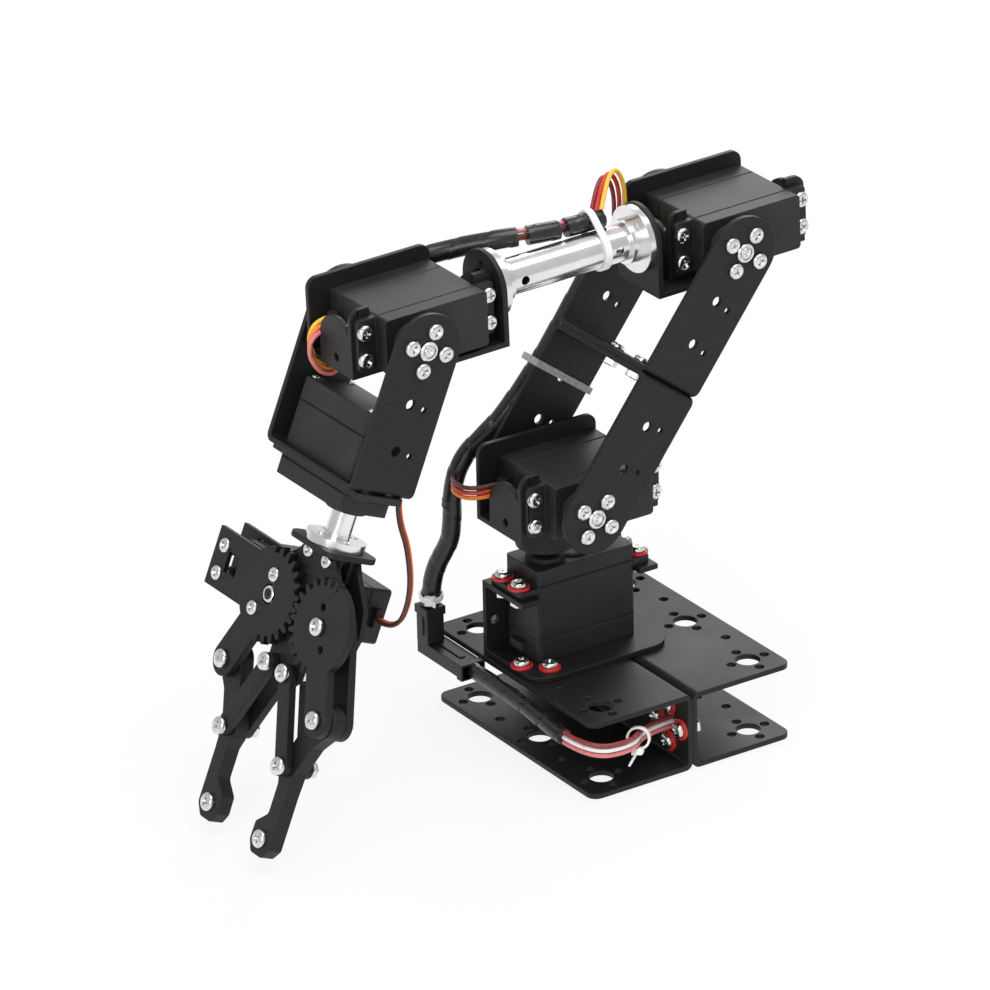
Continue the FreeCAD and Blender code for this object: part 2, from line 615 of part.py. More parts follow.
def plate(front, back, wire_or_face):
    """A flat piece of the claw, between two levels along X."""
    face = wire_or_face if wire_or_face.ShapeType == "Face" else Part.Face(wire_or_face)
    thick = value(front) - value(back)
    flat = face.extrude(Vector(thick, 0, 0))
    flat.translate(Vector(value(back), 0, 0))
    return flat


def polygon(points):
    corners = [claw_point(out, down) for out, down in points]
    return Part.makePolygon(corners + corners[:1])


def disc(out, down, radius, front, back):
    """A round piece or cutter across the claw's thickness."""
    low = value(back)
    return Part.makeCylinder(radius, value(front) - low, claw_point(out, down, low), Vector(1, 0, 0))


def bar(first, second, wide, front, back):
    """A round-ended bar between two centres, given as pairs of out and down."""
    run = Vector(0, second[0] - first[0], first[1] - second[1])
    side = run.cross(Vector(1, 0, 0)).normalize() * (wide / 2)
    a, b = claw_point(*first), claw_point(*second)
    middle = plate(front, back, Part.makePolygon([a + side, b + side, b - side, a - side, a + side]))
    ends = [disc(spot[0], spot[1], wide / 2, front, back) for spot in (first, second)]
    return middle.fuse(ends).removeSplitter()


def mirror(shape, side):
    """The shape as drawn for the left side, or its mirror image for the right."""
    return shape if side > 0 else shape.mirror(Vector(), Vector(0, 1, 0))


GEAR = (SIZE["gear_half"], SIZE["gear_level"])
LEVER_END = (GEAR[0] + SIZE["lever_out"], GEAR[1] + SIZE["lever_down"])
LINK_TOP = (GEAR[0] - SIZE["link_in"], GEAR[1] + SIZE["link_below"])
LINK_END = (LINK_TOP[0] + SIZE["lever_out"], LINK_TOP[1] + SIZE["lever_down"])
bolt = SIZE["claw_bolt"]
run = SIZE["run_gap"]


def tooth_face(angle, half_angle, root, tip):
    """One gear tooth with involute flanks, centred on an angle, as a closed outline."""
    pitch = SIZE["gear_half"]
    base = pitch * math.cos(math.radians(20))

    def involute(radius):
        ratio = max(radius, base) / base
        return math.sqrt(ratio * ratio - 1) - math.acos(1 / ratio)

    steps = 4
    flank = []
    for step in range(steps + 1):
        radius = root + (tip - root) * step / steps
        turn = half_angle + involute(pitch) - involute(radius)
        flank.append((radius, turn))
    outline = [(radius, angle - turn) for radius, turn in flank]
    outline += [(radius, angle + turn) for radius, turn in reversed(flank)]
    return [(GEAR[0] + radius * math.cos(turn), GEAR[1] + radius * math.sin(turn)) for radius, turn in outline]


# the two small holes of each gear, out and down from its centre
GEAR_HOLES = {-1: ((-0.5, -7.1), (5.6, 7.2)), 1: ((-1.2, -6.7), (4.3, 6.6))}


def gear_lever(side):
    """A toothed sector with the lever that carries a finger."""
    front, back = "gear_front", GEAR_BACK
    count = int(SIZE["gear_teeth"])
    pitch = SIZE["gear_half"]
    module = 2 * pitch / count
    root = pitch - 1.25 * module
    tip = pitch + module - SIZE["layer_gap"] / 2
    slack = SIZE["layer_gap"] / 2 / pitch
    half_angle = math.pi / (2 * count) - slack / 2
    blank = disc(GEAR[0], GEAR[1], root, front, back)
    smooth = disc(GEAR[0], GEAR[1], SIZE["smooth_radius"], front, back)
    away = Part.makeBox(100, pitch * 2, 200, claw_point(GEAR[0] + root * 0.25, GEAR[1] + 100, -50))
    pieces = [smooth.common(away)]
    phase = 0.0 if side < 0 else 0.5
    for index in range(-7, 8):
        angle = math.pi + (index + phase) * 2 * math.pi / count
        if abs(index + phase) < 6.8:
            pieces.append(plate(front, back, polygon(tooth_face(angle, half_angle, root - 0.3, tip))))
    pieces.append(bar(GEAR, LEVER_END, SIZE["lever_wide"], front, back))
    shape = blank.fuse(pieces).removeSplitter()
    centre = SIZE["shaft_radius"] + SIZE["seam_cut"] if side < 0 else bolt + run
    holes = [disc(GEAR[0], GEAR[1], centre, front, back), disc(*LEVER_END, bolt + run, front, back)]
    for out, down in GEAR_HOLES[side]:
        holes.append(disc(GEAR[0] + out, GEAR[1] + down, SIZE["screw_radius"], front, back))
    return shape.cut(holes)


def claw_gears():
    """Both geared levers; the right one also has a plain lever behind its finger."""
    left = mirror(gear_lever(-1), -1)
    node("gear_left", solid(left), claw_frame)
    rear = bar(GEAR, LEVER_END, SIZE["lever_wide"], REAR_FRONT, REAR_BACK)
    rear = rear.cut([disc(*GEAR, bolt + run, REAR_FRONT, REAR_BACK), disc(*LEVER_END, bolt + run, REAR_FRONT, REAR_BACK)])
    node("gear_right", solid(Part.makeCompound([gear_lever(1), rear])), claw_frame)


def claw_links(name, side):
    """The pair of plain links, front and rear, that keep a finger upright."""
    links = []
    for front, back in (("gear_front", GEAR_BACK), (REAR_FRONT, REAR_BACK)):
        link = bar(LINK_TOP, LINK_END, SIZE["claw_link_wide"], front, back)
        link = link.cut([disc(*LINK_TOP, bolt + run, front, back), disc(*LINK_END, bolt + 4 * run, front, back)])
        links.append(mirror(link, side))
    node(name, solid(Part.makeCompound(links)), claw_frame)


# corners of the left finger below its head, as out, down and corner radius
FINGER = (
    (34.78, 131.42, 0.0), (28.1, 138.7, 3.0), (23.3, 149.5, 3.0), (22.8, 158.0, 3.0), (22.8, 178.0, 2.0),
    (19.5, 182.0, 2.0), (13.0, 182.0, 2.0), (10.6, 178.0, 2.0), (10.8, 171.5, 2.0), (16.2, 167.0, 2.5),
    (16.2, 156.0, 3.0), (14.5, 151.5, 1.0), (14.87, 147.2, 1.0), (23.62, 125.78, 0.0),
)
TIP_BOLT = (16.7, 176.0)


def finger(name, side):
    """A bent finger of two laminated plates, wide at its gripping tip."""
    front, back = FRONT_FACE, FINGER_BACK
    outline = rounded([claw_point(out, down) for out, down, radius in FINGER], [radius for out, down, radius in FINGER])
    shape = plate(front, back, outline).fuse([
        disc(*LEVER_END, SIZE["finger_head"], front, back),
        disc(*LINK_END, SIZE["finger_knee"], front, back),
    ]).removeSplitter()
    shape = shape.cut([disc(*spot, bolt, front, back) for spot in (LEVER_END, LINK_END, TIP_BOLT)])
    node(name, solid(mirror(shape, side)), claw_frame)


def frame_plate(name, front, back, box_half, horn_hole, servo_window):
    """A claw side plate: neck, gear field, link foot and the arm that takes the servo's far ear."""
    level = SIZE["gear_level"]
    neck = value(MOUNT_TOP) + SIZE["mount_thick"] + 0.3
    far = -(SIZE["gear_half"] + SIZE["ear_arm"])
    foot = LINK_TOP[1]
    half = LINK_TOP[0] + 4.5
    outline = [
        (-9, neck), (9, neck), (12, neck + 4), (21, level - 9), (23, level), (21, level + 7), (half, level + 13),
        (half, foot + 1), (half - 3.5, foot + 4.5), (-half + 3.5, foot + 4.5), (-half, foot + 1),
        (-half, level + 12.5), (-28.5, level + 12.5), (-31, level + box_half), (far, level + box_half),
        (far, level - box_half), (-31, level - box_half), (-28.5, level - 12.5), (-20, level - 12.5), (-12, neck + 4),
    ]
    shape = plate(front, back, polygon(outline))
    holes = [disc(*GEAR, bolt, front, back)]
    holes += [disc(side * LINK_TOP[0], LINK_TOP[1], bolt, front, back) for side in (1, -1)]
    holes += [disc(side * SIZE["mount_bolt_half"], neck + SIZE["mount_bolt_drop"], SIZE["screw_radius"], front, back) for side in (1, -1)]
    ear_far = -SIZE["gear_half"] + SIZE["shaft_end"] - SIZE["servo_long"] / 2 - SIZE["ear_pitch_long"] / 2
    ear_near = ear_far + SIZE["ear_pitch_long"]
    for ear in (ear_far, ear_near):
        for rise in (SIZE["ear_pitch_wide"] / 2, -SIZE["ear_pitch_wide"] / 2):
            holes.append(disc(ear, level + rise, SIZE["screw_radius"], front, back))
    if horn_hole:
        holes.append(disc(-GEAR[0], GEAR[1], SIZE["horn_radius"] + 0.8, front, back))
    if servo_window:
        gap = SIZE["fit_gap"]
        end = -SIZE["gear_half"] + SIZE["shaft_end"] + gap
        start = end - SIZE["servo_long"] - 2 * gap
        half_wide = SIZE["servo_wide"] / 2 + gap
        window = [(start, level - half_wide), (end, level - half_wide), (end, level + half_wide), (start, level + half_wide)]
    else:
        window = [(-48.5, level - 4), (-41.5, level - 4), (-41.5, level + 3.5), (-48.5, level + 3.5)]
    holes.append(plate(front, back, polygon(window)))
    node(name, solid(shape.cut(holes)), claw_frame)


def claw_mount():
    """The part that joins the roll horn to the claw's two side plates."""
    top = "-" + MOUNT_TOP
    low = f"{top} - mount_thick - mount_flange"
    head = box(("-mount_deep", "mount_deep"), ("-mount_half", "mount_half"), (f"{top} - mount_thick", top))
    head = round_edges(head, "mount_round", lambda edge: straight_along(edge, "z"))
    wide = ("-mount_wide/2", "mount_wide/2")
    flanges = [
        box((f"{FRONT_BACK} - mount_thick", FRONT_BACK), wide, (low, f"{top} - mount_thick/2")),
        box((BACK_FACE, f"{BACK_FACE} + mount_thick"), wide, (low, f"{top} - mount_thick/2")),
    ]
    level = f"{top} - mount_thick - layer_gap - mount_bolt_drop"
    cuts = [rod("screw_radius", f"{BACK_BACK}", "gear_front", "x", (side, level))
            for side in ("mount_bolt_half", "-mount_bolt_half")]
    for one, two in (("ring_radius", "0"), ("-ring_radius", "0"), ("0", "ring_radius"), ("0", "-ring_radius")):
        cuts.append(rod("screw_radius", f"{top} - mount_thick - 1", f"{top} + 1", "z", (one, two)))
    node("claw_mount", cut(fuse(head, *flanges), *cuts), claw_frame)


claw_gears()
for hand, side in (("left", -1), ("right", 1)):
    claw_links(f"link_{hand}", side)
    finger(f"finger_{hand}", side)
frame_plate("claw_plate_front", FRONT_FACE, FRONT_BACK, SIZE["front_box_half"], True, False)
frame_plate("claw_plate_back", BACK_FACE, BACK_BACK, SIZE["back_box_half"], False, True)
claw_mount()
claw_servo_frame = claw_frame.multiply(Placement(
    Vector(value(f"{BACK_BACK} - ear_base - ear_thick"), -SIZE["gear_half"], -SIZE["gear_level"]),
    Rotation(Vector(0, 1, 0), Vector(0, 0, 1), Vector(1, 0, 0), "ZXY"),
))
node("claw_servo", servo(), claw_servo_frame)
CLAW_HORN = f"({GEAR_BACK} - {BACK_BACK} + ear_base + ear_thick)"
claw_disc = horn(face=CLAW_HORN, thick="claw_plate + layer_gap", shaft_top="spline_top", hub=False)
node("claw_horn", claw_disc, claw_servo_frame)


# Fasteners

def screw(axis, spot, under_head, tip):
    """A pan-head screw along an axis, with its head at the high end."""
    return fuse(rod("screw_radius", tip, under_head, axis, spot),
                rod("screw_head", under_head, f"{under_head} + screw_head_thick", axis, spot))


def ring_spots(one="0", two="0"):
    """The four screw places of a hole pattern."""
    return [(f"{one} + ring_radius", two), (f"{one} - ring_radius", two),
            (one, f"{two} + ring_radius"), (one, f"{two} - ring_radius")]


EAR_MIDDLE = "(shaft_end - servo_long/2)"
EAR_SPOTS = [(f"{EAR_MIDDLE} + {end}*ear_pitch_long/2", f"{side}*ear_pitch_wide/2") for end in (1, -1) for side in (1, -1)]


def base_fasteners():
    """Bolts through both webs, foot screws and ear screws, all with fibre washers."""
    bolts, washers = [], []
    for middle in ("row_pitch", "-row_pitch"):
        for spot in ring_spots(middle, "base_height/2"):
            bolts.append(screw("x", spot, "sheet + washer_thick", "-sheet - nut_thick"))
            washers.append(cut(rod("washer_radius", "sheet", "sheet + washer_thick", "x", spot),
                               rod("screw_radius", "sheet - 1", "sheet + washer_thick + 1", "x", spot)))
    for one, two in FOOT_SCREWS[:2]:
        spot = (one, two)
        bolts.append(place(screw("z", spot, "washer_thick", "-2*sheet"), yaw_frame))
        washers.append(place(cut(rod("washer_radius", "0", "washer_thick", "z", spot),
                                 rod("screw_radius", "-1", "washer_thick + 1", "z", spot)), yaw_frame))
    top = "(ear_base + ear_thick)"
    for spot in EAR_SPOTS:
        bolts.append(place(screw("z", spot, f"{top} + washer_thick", "ear_base - sheet - nut_thick"), yaw_frame))
        washers.append(place(cut(rod("washer_radius", top, f"{top} + washer_thick", "z", spot),
                                 rod("screw_radius", f"{top} - 1", f"{top} + washer_thick + 1", "z", spot)), yaw_frame))
    node("base_screws", several(bolts))
    node("base_washers", several(washers))


def ear_screws(frame):
    """The four screws through a lying servo's ears into its bracket."""
    top = "(back_wall + ear_base + ear_thick)"
    tip = "back_wall + ear_base - sheet - nut_thick"
    return [place(screw("y", (one, two), top, tip), frame) for one, two in EAR_SPOTS]


def horn_screws(frame):
    """Five screws that hold a link's near arm to its horn."""
    found = [place(screw("y", spot, ARM_OUTER, f"{ARM_INNER} - horn_thick"), frame) for spot in ring_spots()]
    middle = rod("hub_radius - 1 - run_gap", ARM_INNER, f"{ARM_OUTER} + screw_head_thick/2", "y", ("0", "0"))
    return found + [place(middle, frame)]


def link_bolts():
    """The two bolts through the webs that join the lower and upper links."""
    return [place(screw("z", ("0", side), "link_length + sheet", "link_length - sheet - nut_thick"), upper_frame)
            for side in ("bolt_pitch/2", "-bolt_pitch/2")]


base_fasteners()
node("turret_screws", several(ear_screws(shoulder_frame)))
node("arm_screws", several(horn_screws(upper_frame) + horn_screws(elbow_turned) + link_bolts()))
node("forearm_screws", several(ear_screws(elbow_frame) + ear_screws(wrist_frame)))
node("wrist_screws", several(horn_screws(hand_frame)))


def claw_bolt(out, down, tip, under="gear_front + layer_gap"):
    """A bolt across the claw, head in front and nut behind."""
    low = value(tip)
    high = value(under)
    shape = Part.makeCylinder(bolt, high - low, claw_point(out, down, low), Vector(1, 0, 0))
    cap = Part.makeCylinder(SIZE["bolt_head"], SIZE["bolt_head_thick"], claw_point(out, down, high), Vector(1, 0, 0))
    end = Part.makeCylinder(SIZE["nut_radius"], SIZE["nut_thick"], claw_point(out, down, low), Vector(-1, 0, 0))
    return shape.fuse([cap, end]).removeSplitter()


def claw_fasteners():
    """Bolts and spacers of the claw: some turn in the frame's holes, some travel with the fingers."""
    frame_parts = [claw_bolt(GEAR[0], GEAR[1], BACK_BACK)]
    sleeve_ends = (FRONT_BACK, f"{REAR_FRONT} + layer_gap")
    for side in (1, -1):
        frame_parts.append(claw_bolt(side * LINK_TOP[0], LINK_TOP[1], BACK_BACK))
    node("claw_bolts", solid(Part.makeCompound(frame_parts)), claw_frame)
    sleeves = []
    for out, down in (GEAR, LINK_TOP, (-LINK_TOP[0], LINK_TOP[1])):
        tube = disc(out, down, bolt + 1.2, *sleeve_ends).cut(disc(out, down, bolt, *sleeve_ends))
        sleeves.append(tube)
    ear_far = -SIZE["gear_half"] + SIZE["shaft_end"] - SIZE["servo_long"] / 2 - SIZE["ear_pitch_long"] / 2
    for rise in (1, -1):
        down = SIZE["gear_level"] + rise * SIZE["ear_pitch_wide"] / 2
        post = disc(ear_far, down, SIZE["nut_radius"], FRONT_BACK, BACK_FACE)
        sleeves.append(post.cut(disc(ear_far, down, SIZE["screw_radius"], FRONT_BACK, BACK_FACE)))
    node("claw_spacers", solid(Part.makeCompound(sleeves)), claw_frame)
    for hand, side in (("left", -1), ("right", 1)):
        deep = f"{REAR_BACK} - layer_gap"
        lever_tip = deep if side > 0 else FINGER_BACK
        bolts = [
            claw_bolt(LEVER_END[0], LEVER_END[1], lever_tip),
            claw_bolt(LINK_END[0], LINK_END[1], deep),
            claw_bolt(*TIP_BOLT, FINGER_BACK, FRONT_FACE),
        ]
        node(f"finger_{hand}_bolts", solid(mirror(Part.makeCompound(bolts), side)), claw_frame)


claw_fasteners()


# Cables.  Each route is a list of points in the frame of the part that carries it.

def route(frame, points):
    return [along(frame, *point) for point in points]


def turn_only(frame, x, y, z):
    """A direction of a frame as a world direction."""
    return frame.Rotation.multVec(Vector(x, y, z))


def shape_of(name):
    """The finished shape of a node."""
    return next(thing.Shape for thing in NODES if thing.Label == name)


def cable(name, shapes, held_by=()):
    """A node of plain cords, with ends that meet the faces of what holds them."""
    doc.recompute()
    if held_by:
        tools = [shape_of(other) for other in held_by]
        shapes = [shape.cut(tools) for shape in shapes]
    return node(name, solid(Part.makeCompound(shapes)))


WORLD = Placement()
PITCH = SIZE["wire_pitch"]
SLEEVE = SIZE["sleeve_radius"]

# down from the turret into a plug at the front of the base, and on along its front edge
BASE_SLEEVE = ((44.3, -34.0, 74.0), (45.5, -36.0, 65.5), (49.0, -41.0, 54.5), (49.0, -41.0, 42.0))
FRONT_SLEEVE = ((46.5, -17.0, 25.0), (46.5, -1.0, 25.0), (46.0, 18.0, 23.5), (46.3, 38.0, 21.5))
BASE_WIRES = ((46.3, 38.0, 21.5), (46.0, 54.0, 21.5), (30.0, 56.0, 20.5), (14.0, 40.0, 16.0), (1.0, 38.0, 14.5))
PLUGS = (((45.0, 53.0), (-45.0, -37.0), (28.0, 42.0)), ((42.0, 52.0), (-46.0, -17.0), (22.0, 28.0)))

cable("base_sleeve", [cord(route(WORLD, BASE_SLEEVE), SLEEVE)])
cable("front_sleeve", [cord(route(WORLD, FRONT_SLEEVE), SIZE["front_sleeve_radius"])])
cable("base_wires", wires(route(WORLD, BASE_WIRES), Vector(0, 0, PITCH)), ["front_sleeve"])
plug_blocks = [box(*[tuple(str(end) for end in pair) for pair in plug]) for plug in PLUGS]
node("base_plugs", fuse(*plug_blocks))

# the shoulder servo's lead joins the sleeve beside it
TURRET_SLEEVE = ((40.0, -34.0, 99.0), (43.0, -34.0, 88.0), (44.0, -34.0, 76.0))
SHOULDER_LEAD = ((35.15, -16.5, 92.0), (46.0, -16.5, 92.0), (48.0, -27.0, 92.0), (42.5, -34.0, 90.5))
cable("turret_sleeve", [cord(route(WORLD, TURRET_SLEEVE), SLEEVE)])
cable("shoulder_lead", wires(route(WORLD, SHOULDER_LEAD), Vector(0, 0, PITCH)), ["turret_sleeve"])

# along the outside of the lower link's far arm, under a tie
ARM_SLEEVE = ((8.5, -30.5, 27.0), (8.0, -30.5, 41.0), (8.0, -30.5, 60.0), (7.5, -31.5, 79.0))
cable("arm_sleeve", [cord(route(upper_frame, ARM_SLEEVE), SLEEVE)])


def arm_tie():
    """A strap round the arm and the sleeve on it."""
    level = SIZE["arm_tie_level"]
    thick, half = SIZE["tie_thick"], SIZE["link_wide"] / 2
    inner, outer = -value(ARM_INNER), -value(ARM_OUTER)
    low = outer - 2 * SLEEVE
    middle = ARM_SLEEVE[1][0]
    inside = [(-half, inner), (half, inner), (half, outer), (middle + SLEEVE, low), (middle - SLEEVE, low), (-half, outer)]
    outside = [(-half - thick, inner + thick), (half + thick, inner + thick), (half + thick, outer - thick),
               (middle + SLEEVE + thick, low - thick), (middle - SLEEVE - thick, low - thick), (-half - thick, outer - thick)]
    loops = []
    for corners in (outside, inside):
        points = [Vector(x, y, level) for x, y in corners]
        loops.append(Part.Face(Part.makePolygon(points + points[:1])).extrude(Vector(0, 0, SIZE["tie_wide"])))
    return loops[0].cut(loops[1])


node("arm_tie", solid(arm_tie()), upper_frame)

# over the forearm tube, with the elbow and wrist servos' leads at its ends
FOREARM_SLEEVE = ((38.0, -3.5, 13.16), (56.0, -3.5, 13.16), (77.0, -9.0, 14.0), (93.0, -23.9, 8.5), (111.0, -26.2, 7.0))
ELBOW_LEAD = ((13.15, -13.5, 0.0), (24.5, -13.5, 0.0), (23.5, -13.0, 19.0), (33.0, -8.5, 29.0), (41.0, -3.5, 13.16))
WRIST_LEAD = (
    (142.15, -13.5, 0.0), (148.0, -13.5, 0.0), (151.2, -14.0, -6.5), (146.8, -15.0, -15.6), (139.0, -16.0, -19.5),
    (133.5, -16.0, -12.1),
)
cable("forearm_sleeve", [cord(route(elbow_frame, FOREARM_SLEEVE), SLEEVE)])
elbow_step = turn_only(elbow_frame, 1.35, -1.35, -1.35)
cable("elbow_lead", wires(route(elbow_frame, ELBOW_LEAD), elbow_step), ["forearm_sleeve"])
wrist_step = turn_only(elbow_frame, 1.1, 1.7, -1.1)
cable("wrist_lead", wires(route(elbow_frame, WRIST_LEAD), wrist_step), ["wrist_bracket"])


def belt(first, first_radius, second, second_radius):
    """The flat outline round two circles, given as places on y and z."""
    a, b = Vector(0, *first), Vector(0, *second)
    lean = math.acos((first_radius - second_radius) / (b - a).Length)
    sides = []
    for turn in (lean, -lean):
        out = Rotation(Vector(1, 0, 0), math.degrees(turn)).multVec((b - a).normalize())
        sides.append((a + out * first_radius, b + out * second_radius))
    corners = [sides[0][0], sides[0][1], sides[1][1], sides[1][0]]
    face = Part.Face(Part.makePolygon(corners + corners[:1]))
    strip = face.extrude(Vector(SIZE["tie_wide"], 0, 0))
    ends = [Part.makeCylinder(size, SIZE["tie_wide"], spot, Vector(1, 0, 0))
            for spot, size in ((a, first_radius), (b, second_radius))]
    return strip.fuse(ends).removeSplitter()


def tube_tie():
    """A strap round the tube and the sleeve that lies on it."""
    tube = (SIZE["tube_shift"], SIZE["tube_rise"])
    sleeve = FOREARM_SLEEVE[0][1:]
    thick = SIZE["tie_thick"]
    outer = belt(tube, SIZE["tube_radius"] + thick, sleeve, SLEEVE + thick)
    return outer.cut(belt(tube, SIZE["tube_radius"], sleeve, SLEEVE))


tie = tube_tie()
tie.translate(Vector(SIZE["tube_tie_x"], 0, 0))
node("tube_tie", solid(tie), elbow_frame)

# up behind the roll servo, and the claw servo's own lead below it
HAND_LEAD = ((-9.0, 0.3, -35.6), (-17.0, 0.3, -38.5), (-18.5, 0.5, -52.0), (-22.0, 1.5, -63.0), (-28.0, 4.0, -72.0))
CLAW_LEAD = ((-30.3, -2.85, -100.0), (-30.3, 8.5, -100.0), (-32.0, 8.2, -87.0), (-28.8, 4.2, -73.6))
cable("hand_lead", wires(route(claw_frame, HAND_LEAD), Vector(0, PITCH, 0)), ["roll_servo"])
cable("claw_lead", wires(route(claw_frame, CLAW_LEAD), turn_only(claw_frame, PITCH, 0, 0)))

# Recompute, check and write

doc.recompute()
for thing in doc.Objects:
    if "Invalid" in thing.State or "Error" in thing.State:
        raise RuntimeError(f"{thing.Name} ({thing.Label}) failed: {thing.State}")
os.makedirs("parts", exist_ok=True)
for thing in NODES:
    shape = thing.Shape
    if shape.isNull() or not shape.isValid():
        raise RuntimeError(f"{thing.Label} has no valid shape")
    shape.exportStep(f"parts/{thing.Label}.step")
    print(thing.Label, len(shape.Solids), round(shape.Volume, 1))
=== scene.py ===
# %% [markdown]
# # A desktop robot arm with a claw
# This notebook dresses the CAD model of a six-servo robot arm.  The CAD parts are loaded first and
# keep their shape.  Everything after that is finish: coatings, screws with real heads, spiral cable
# sleeves, servo leads, ties and plugs.  Sizes are metres, and +Z is up.

# %% Load the CAD frame
import math
import random

import bmesh
import bpy
from mathutils import Matrix, Vector


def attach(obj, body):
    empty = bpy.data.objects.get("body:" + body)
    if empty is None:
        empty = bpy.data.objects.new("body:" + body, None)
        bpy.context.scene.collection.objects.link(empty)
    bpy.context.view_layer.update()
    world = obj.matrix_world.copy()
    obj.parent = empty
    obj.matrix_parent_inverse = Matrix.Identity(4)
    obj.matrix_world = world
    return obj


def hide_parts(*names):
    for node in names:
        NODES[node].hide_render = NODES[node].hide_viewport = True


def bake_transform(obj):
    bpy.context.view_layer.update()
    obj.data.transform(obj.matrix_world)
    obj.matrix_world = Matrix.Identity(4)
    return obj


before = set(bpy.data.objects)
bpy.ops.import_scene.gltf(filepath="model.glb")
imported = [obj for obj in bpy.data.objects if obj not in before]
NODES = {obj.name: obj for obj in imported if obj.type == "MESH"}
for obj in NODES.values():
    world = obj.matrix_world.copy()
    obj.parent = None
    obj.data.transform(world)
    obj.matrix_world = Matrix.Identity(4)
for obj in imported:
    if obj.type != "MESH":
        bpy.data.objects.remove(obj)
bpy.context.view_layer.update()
MM = 0.001
random.seed(11)

# %% [markdown]
# ## The camera
# The photograph is taken from far away with a long lens, so the arm hardly tapers with distance.  A
# camera can be aimed with a Track To constraint, but that keeps it level, and this one leans a little
# to one side.  So its right, up and back directions are worked out, and they become its matrix.

# %% Camera
SENSOR = 36.0
LENS = 261.96
FARTHEST = 50.0
DISTANCE = 2.5285
AZIMUTH, ELEVATION, ROLL = (math.radians(angle) for angle in (146.97, 24.77, -1.21))
AIM_RIGHT, AIM_UP = -0.04152, 0.07817


def place_camera():
    """Put the camera where the photograph was taken from, and return its place."""
    flat = math.cos(ELEVATION)
    back = Vector((math.sin(AZIMUTH) * flat, -math.cos(AZIMUTH) * flat, math.sin(ELEVATION)))
    level = (-back).cross(Vector((0, 0, 1))).normalized()
    upright = level.cross(-back)
    right = math.cos(ROLL) * level + math.sin(ROLL) * upright
    up = -math.sin(ROLL) * level + math.cos(ROLL) * upright
    lens = bpy.data.cameras.new("studio_camera")
    lens.sensor_width = SENSOR
    lens.lens = LENS
    lens.clip_end = FARTHEST
    camera = bpy.data.objects.new("studio_camera", lens)
    bpy.context.scene.collection.objects.link(camera)
    spot = back * DISTANCE + right * AIM_RIGHT + up * AIM_UP
    camera.matrix_world = Matrix.Translation(spot) @ Matrix((right, up, back)).transposed().to_4x4()
    bpy.context.scene.camera = camera
    return spot


print("camera at", tuple(round(v, 3) for v in place_camera()))

# %% [markdown]
# ## White room
# The arm stands in a white room.  A plain white world would do that too, but it would light the black
# parts from all sides and flatten them.  So the camera sees a white room while a dimmer one lights
# the arm, and a Light Path node tells the two kinds of ray apart.

# %% White room
bpy.context.scene.view_settings.view_transform = "Standard"
ROOM_LIGHT = 0.62
WHITE = (1, 1, 1, 1)


def seen_directly(tree):
    """Two switches, 1 for rays that look and 0 for rays that light: with mirrors, and without."""
    path = tree.nodes.new("ShaderNodeLightPath")
    first = tree.nodes.new("ShaderNodeMath")
    first.operation = "MAXIMUM"
    second = tree.nodes.new("ShaderNodeMath")
    second.operation = "MAXIMUM"
    tree.links.new(path.outputs["Is Camera Ray"], first.inputs[0])
    tree.links.new(path.outputs["Is Transmission Ray"], first.inputs[1])
    tree.links.new(first.outputs[0], second.inputs[0])
    tree.links.new(path.outputs["Is Glossy Ray"], second.inputs[1])
    return second.outputs[0], first.outputs[0]


def backdrop(tree, strength):
    shade = tree.nodes.new("ShaderNodeBackground")
    shade.inputs["Color"].default_value = WHITE
    shade.inputs["Strength"].default_value = strength
    return shade


def light_room():
    world = bpy.data.worlds.new("white_room")
    world.use_nodes = True
    bpy.context.scene.world = world
    tree = world.node_tree
    tree.nodes.clear()
    out = tree.nodes.new("ShaderNodeOutputWorld")
    mix = tree.nodes.new("ShaderNodeMixShader")
    tree.links.new(seen_directly(tree)[1], mix.inputs[0])
    tree.links.new(backdrop(tree, ROOM_LIGHT).outputs[0], mix.inputs[1])
    tree.links.new(backdrop(tree, 1.0).outputs[0], mix.inputs[2])
    tree.links.new(mix.outputs[0], out.inputs[0])


light_room()
print("room light", ROOM_LIGHT)

# %% [markdown]
# ## Floor
# The floor is a sheet of white paper.  Lit by the lamps alone it would turn grey away from the arm.
# So most of what the camera sees of it is an even glow, and the rest takes the lamps' shadows, which
# is enough for a faint shadow that the arm stands on.

# %% Floor
FLOOR_GLOW = 0.86
FLOOR_HALF = 6.0
FLOOR_DROP = 0.4 * MM
PAPER_GREY = 0.82
PAPER_ROUGH = 0.9


def paper():
    """White paper that glows for the camera."""
    sheet = bpy.data.materials.new("floor_paper")
    sheet.use_nodes = True
    tree = sheet.node_tree
    shader = tree.nodes["Principled BSDF"]
    shader.inputs["Base Color"].default_value = (PAPER_GREY, PAPER_GREY, PAPER_GREY, 1)
    shader.inputs["Roughness"].default_value = PAPER_ROUGH
    glow = tree.nodes.new("ShaderNodeEmission")
    share = tree.nodes.new("ShaderNodeMath")
    share.operation = "MULTIPLY"
    share.inputs[1].default_value = FLOOR_GLOW
    mix = tree.nodes.new("ShaderNodeMixShader")
    tree.links.new(seen_directly(tree)[0], share.inputs[0])
    tree.links.new(share.outputs[0], mix.inputs[0])
    tree.links.new(shader.outputs[0], mix.inputs[1])
    tree.links.new(glow.outputs[0], mix.inputs[2])
    tree.links.new(mix.outputs[0], tree.nodes["Material Output"].inputs[0])
    return sheet


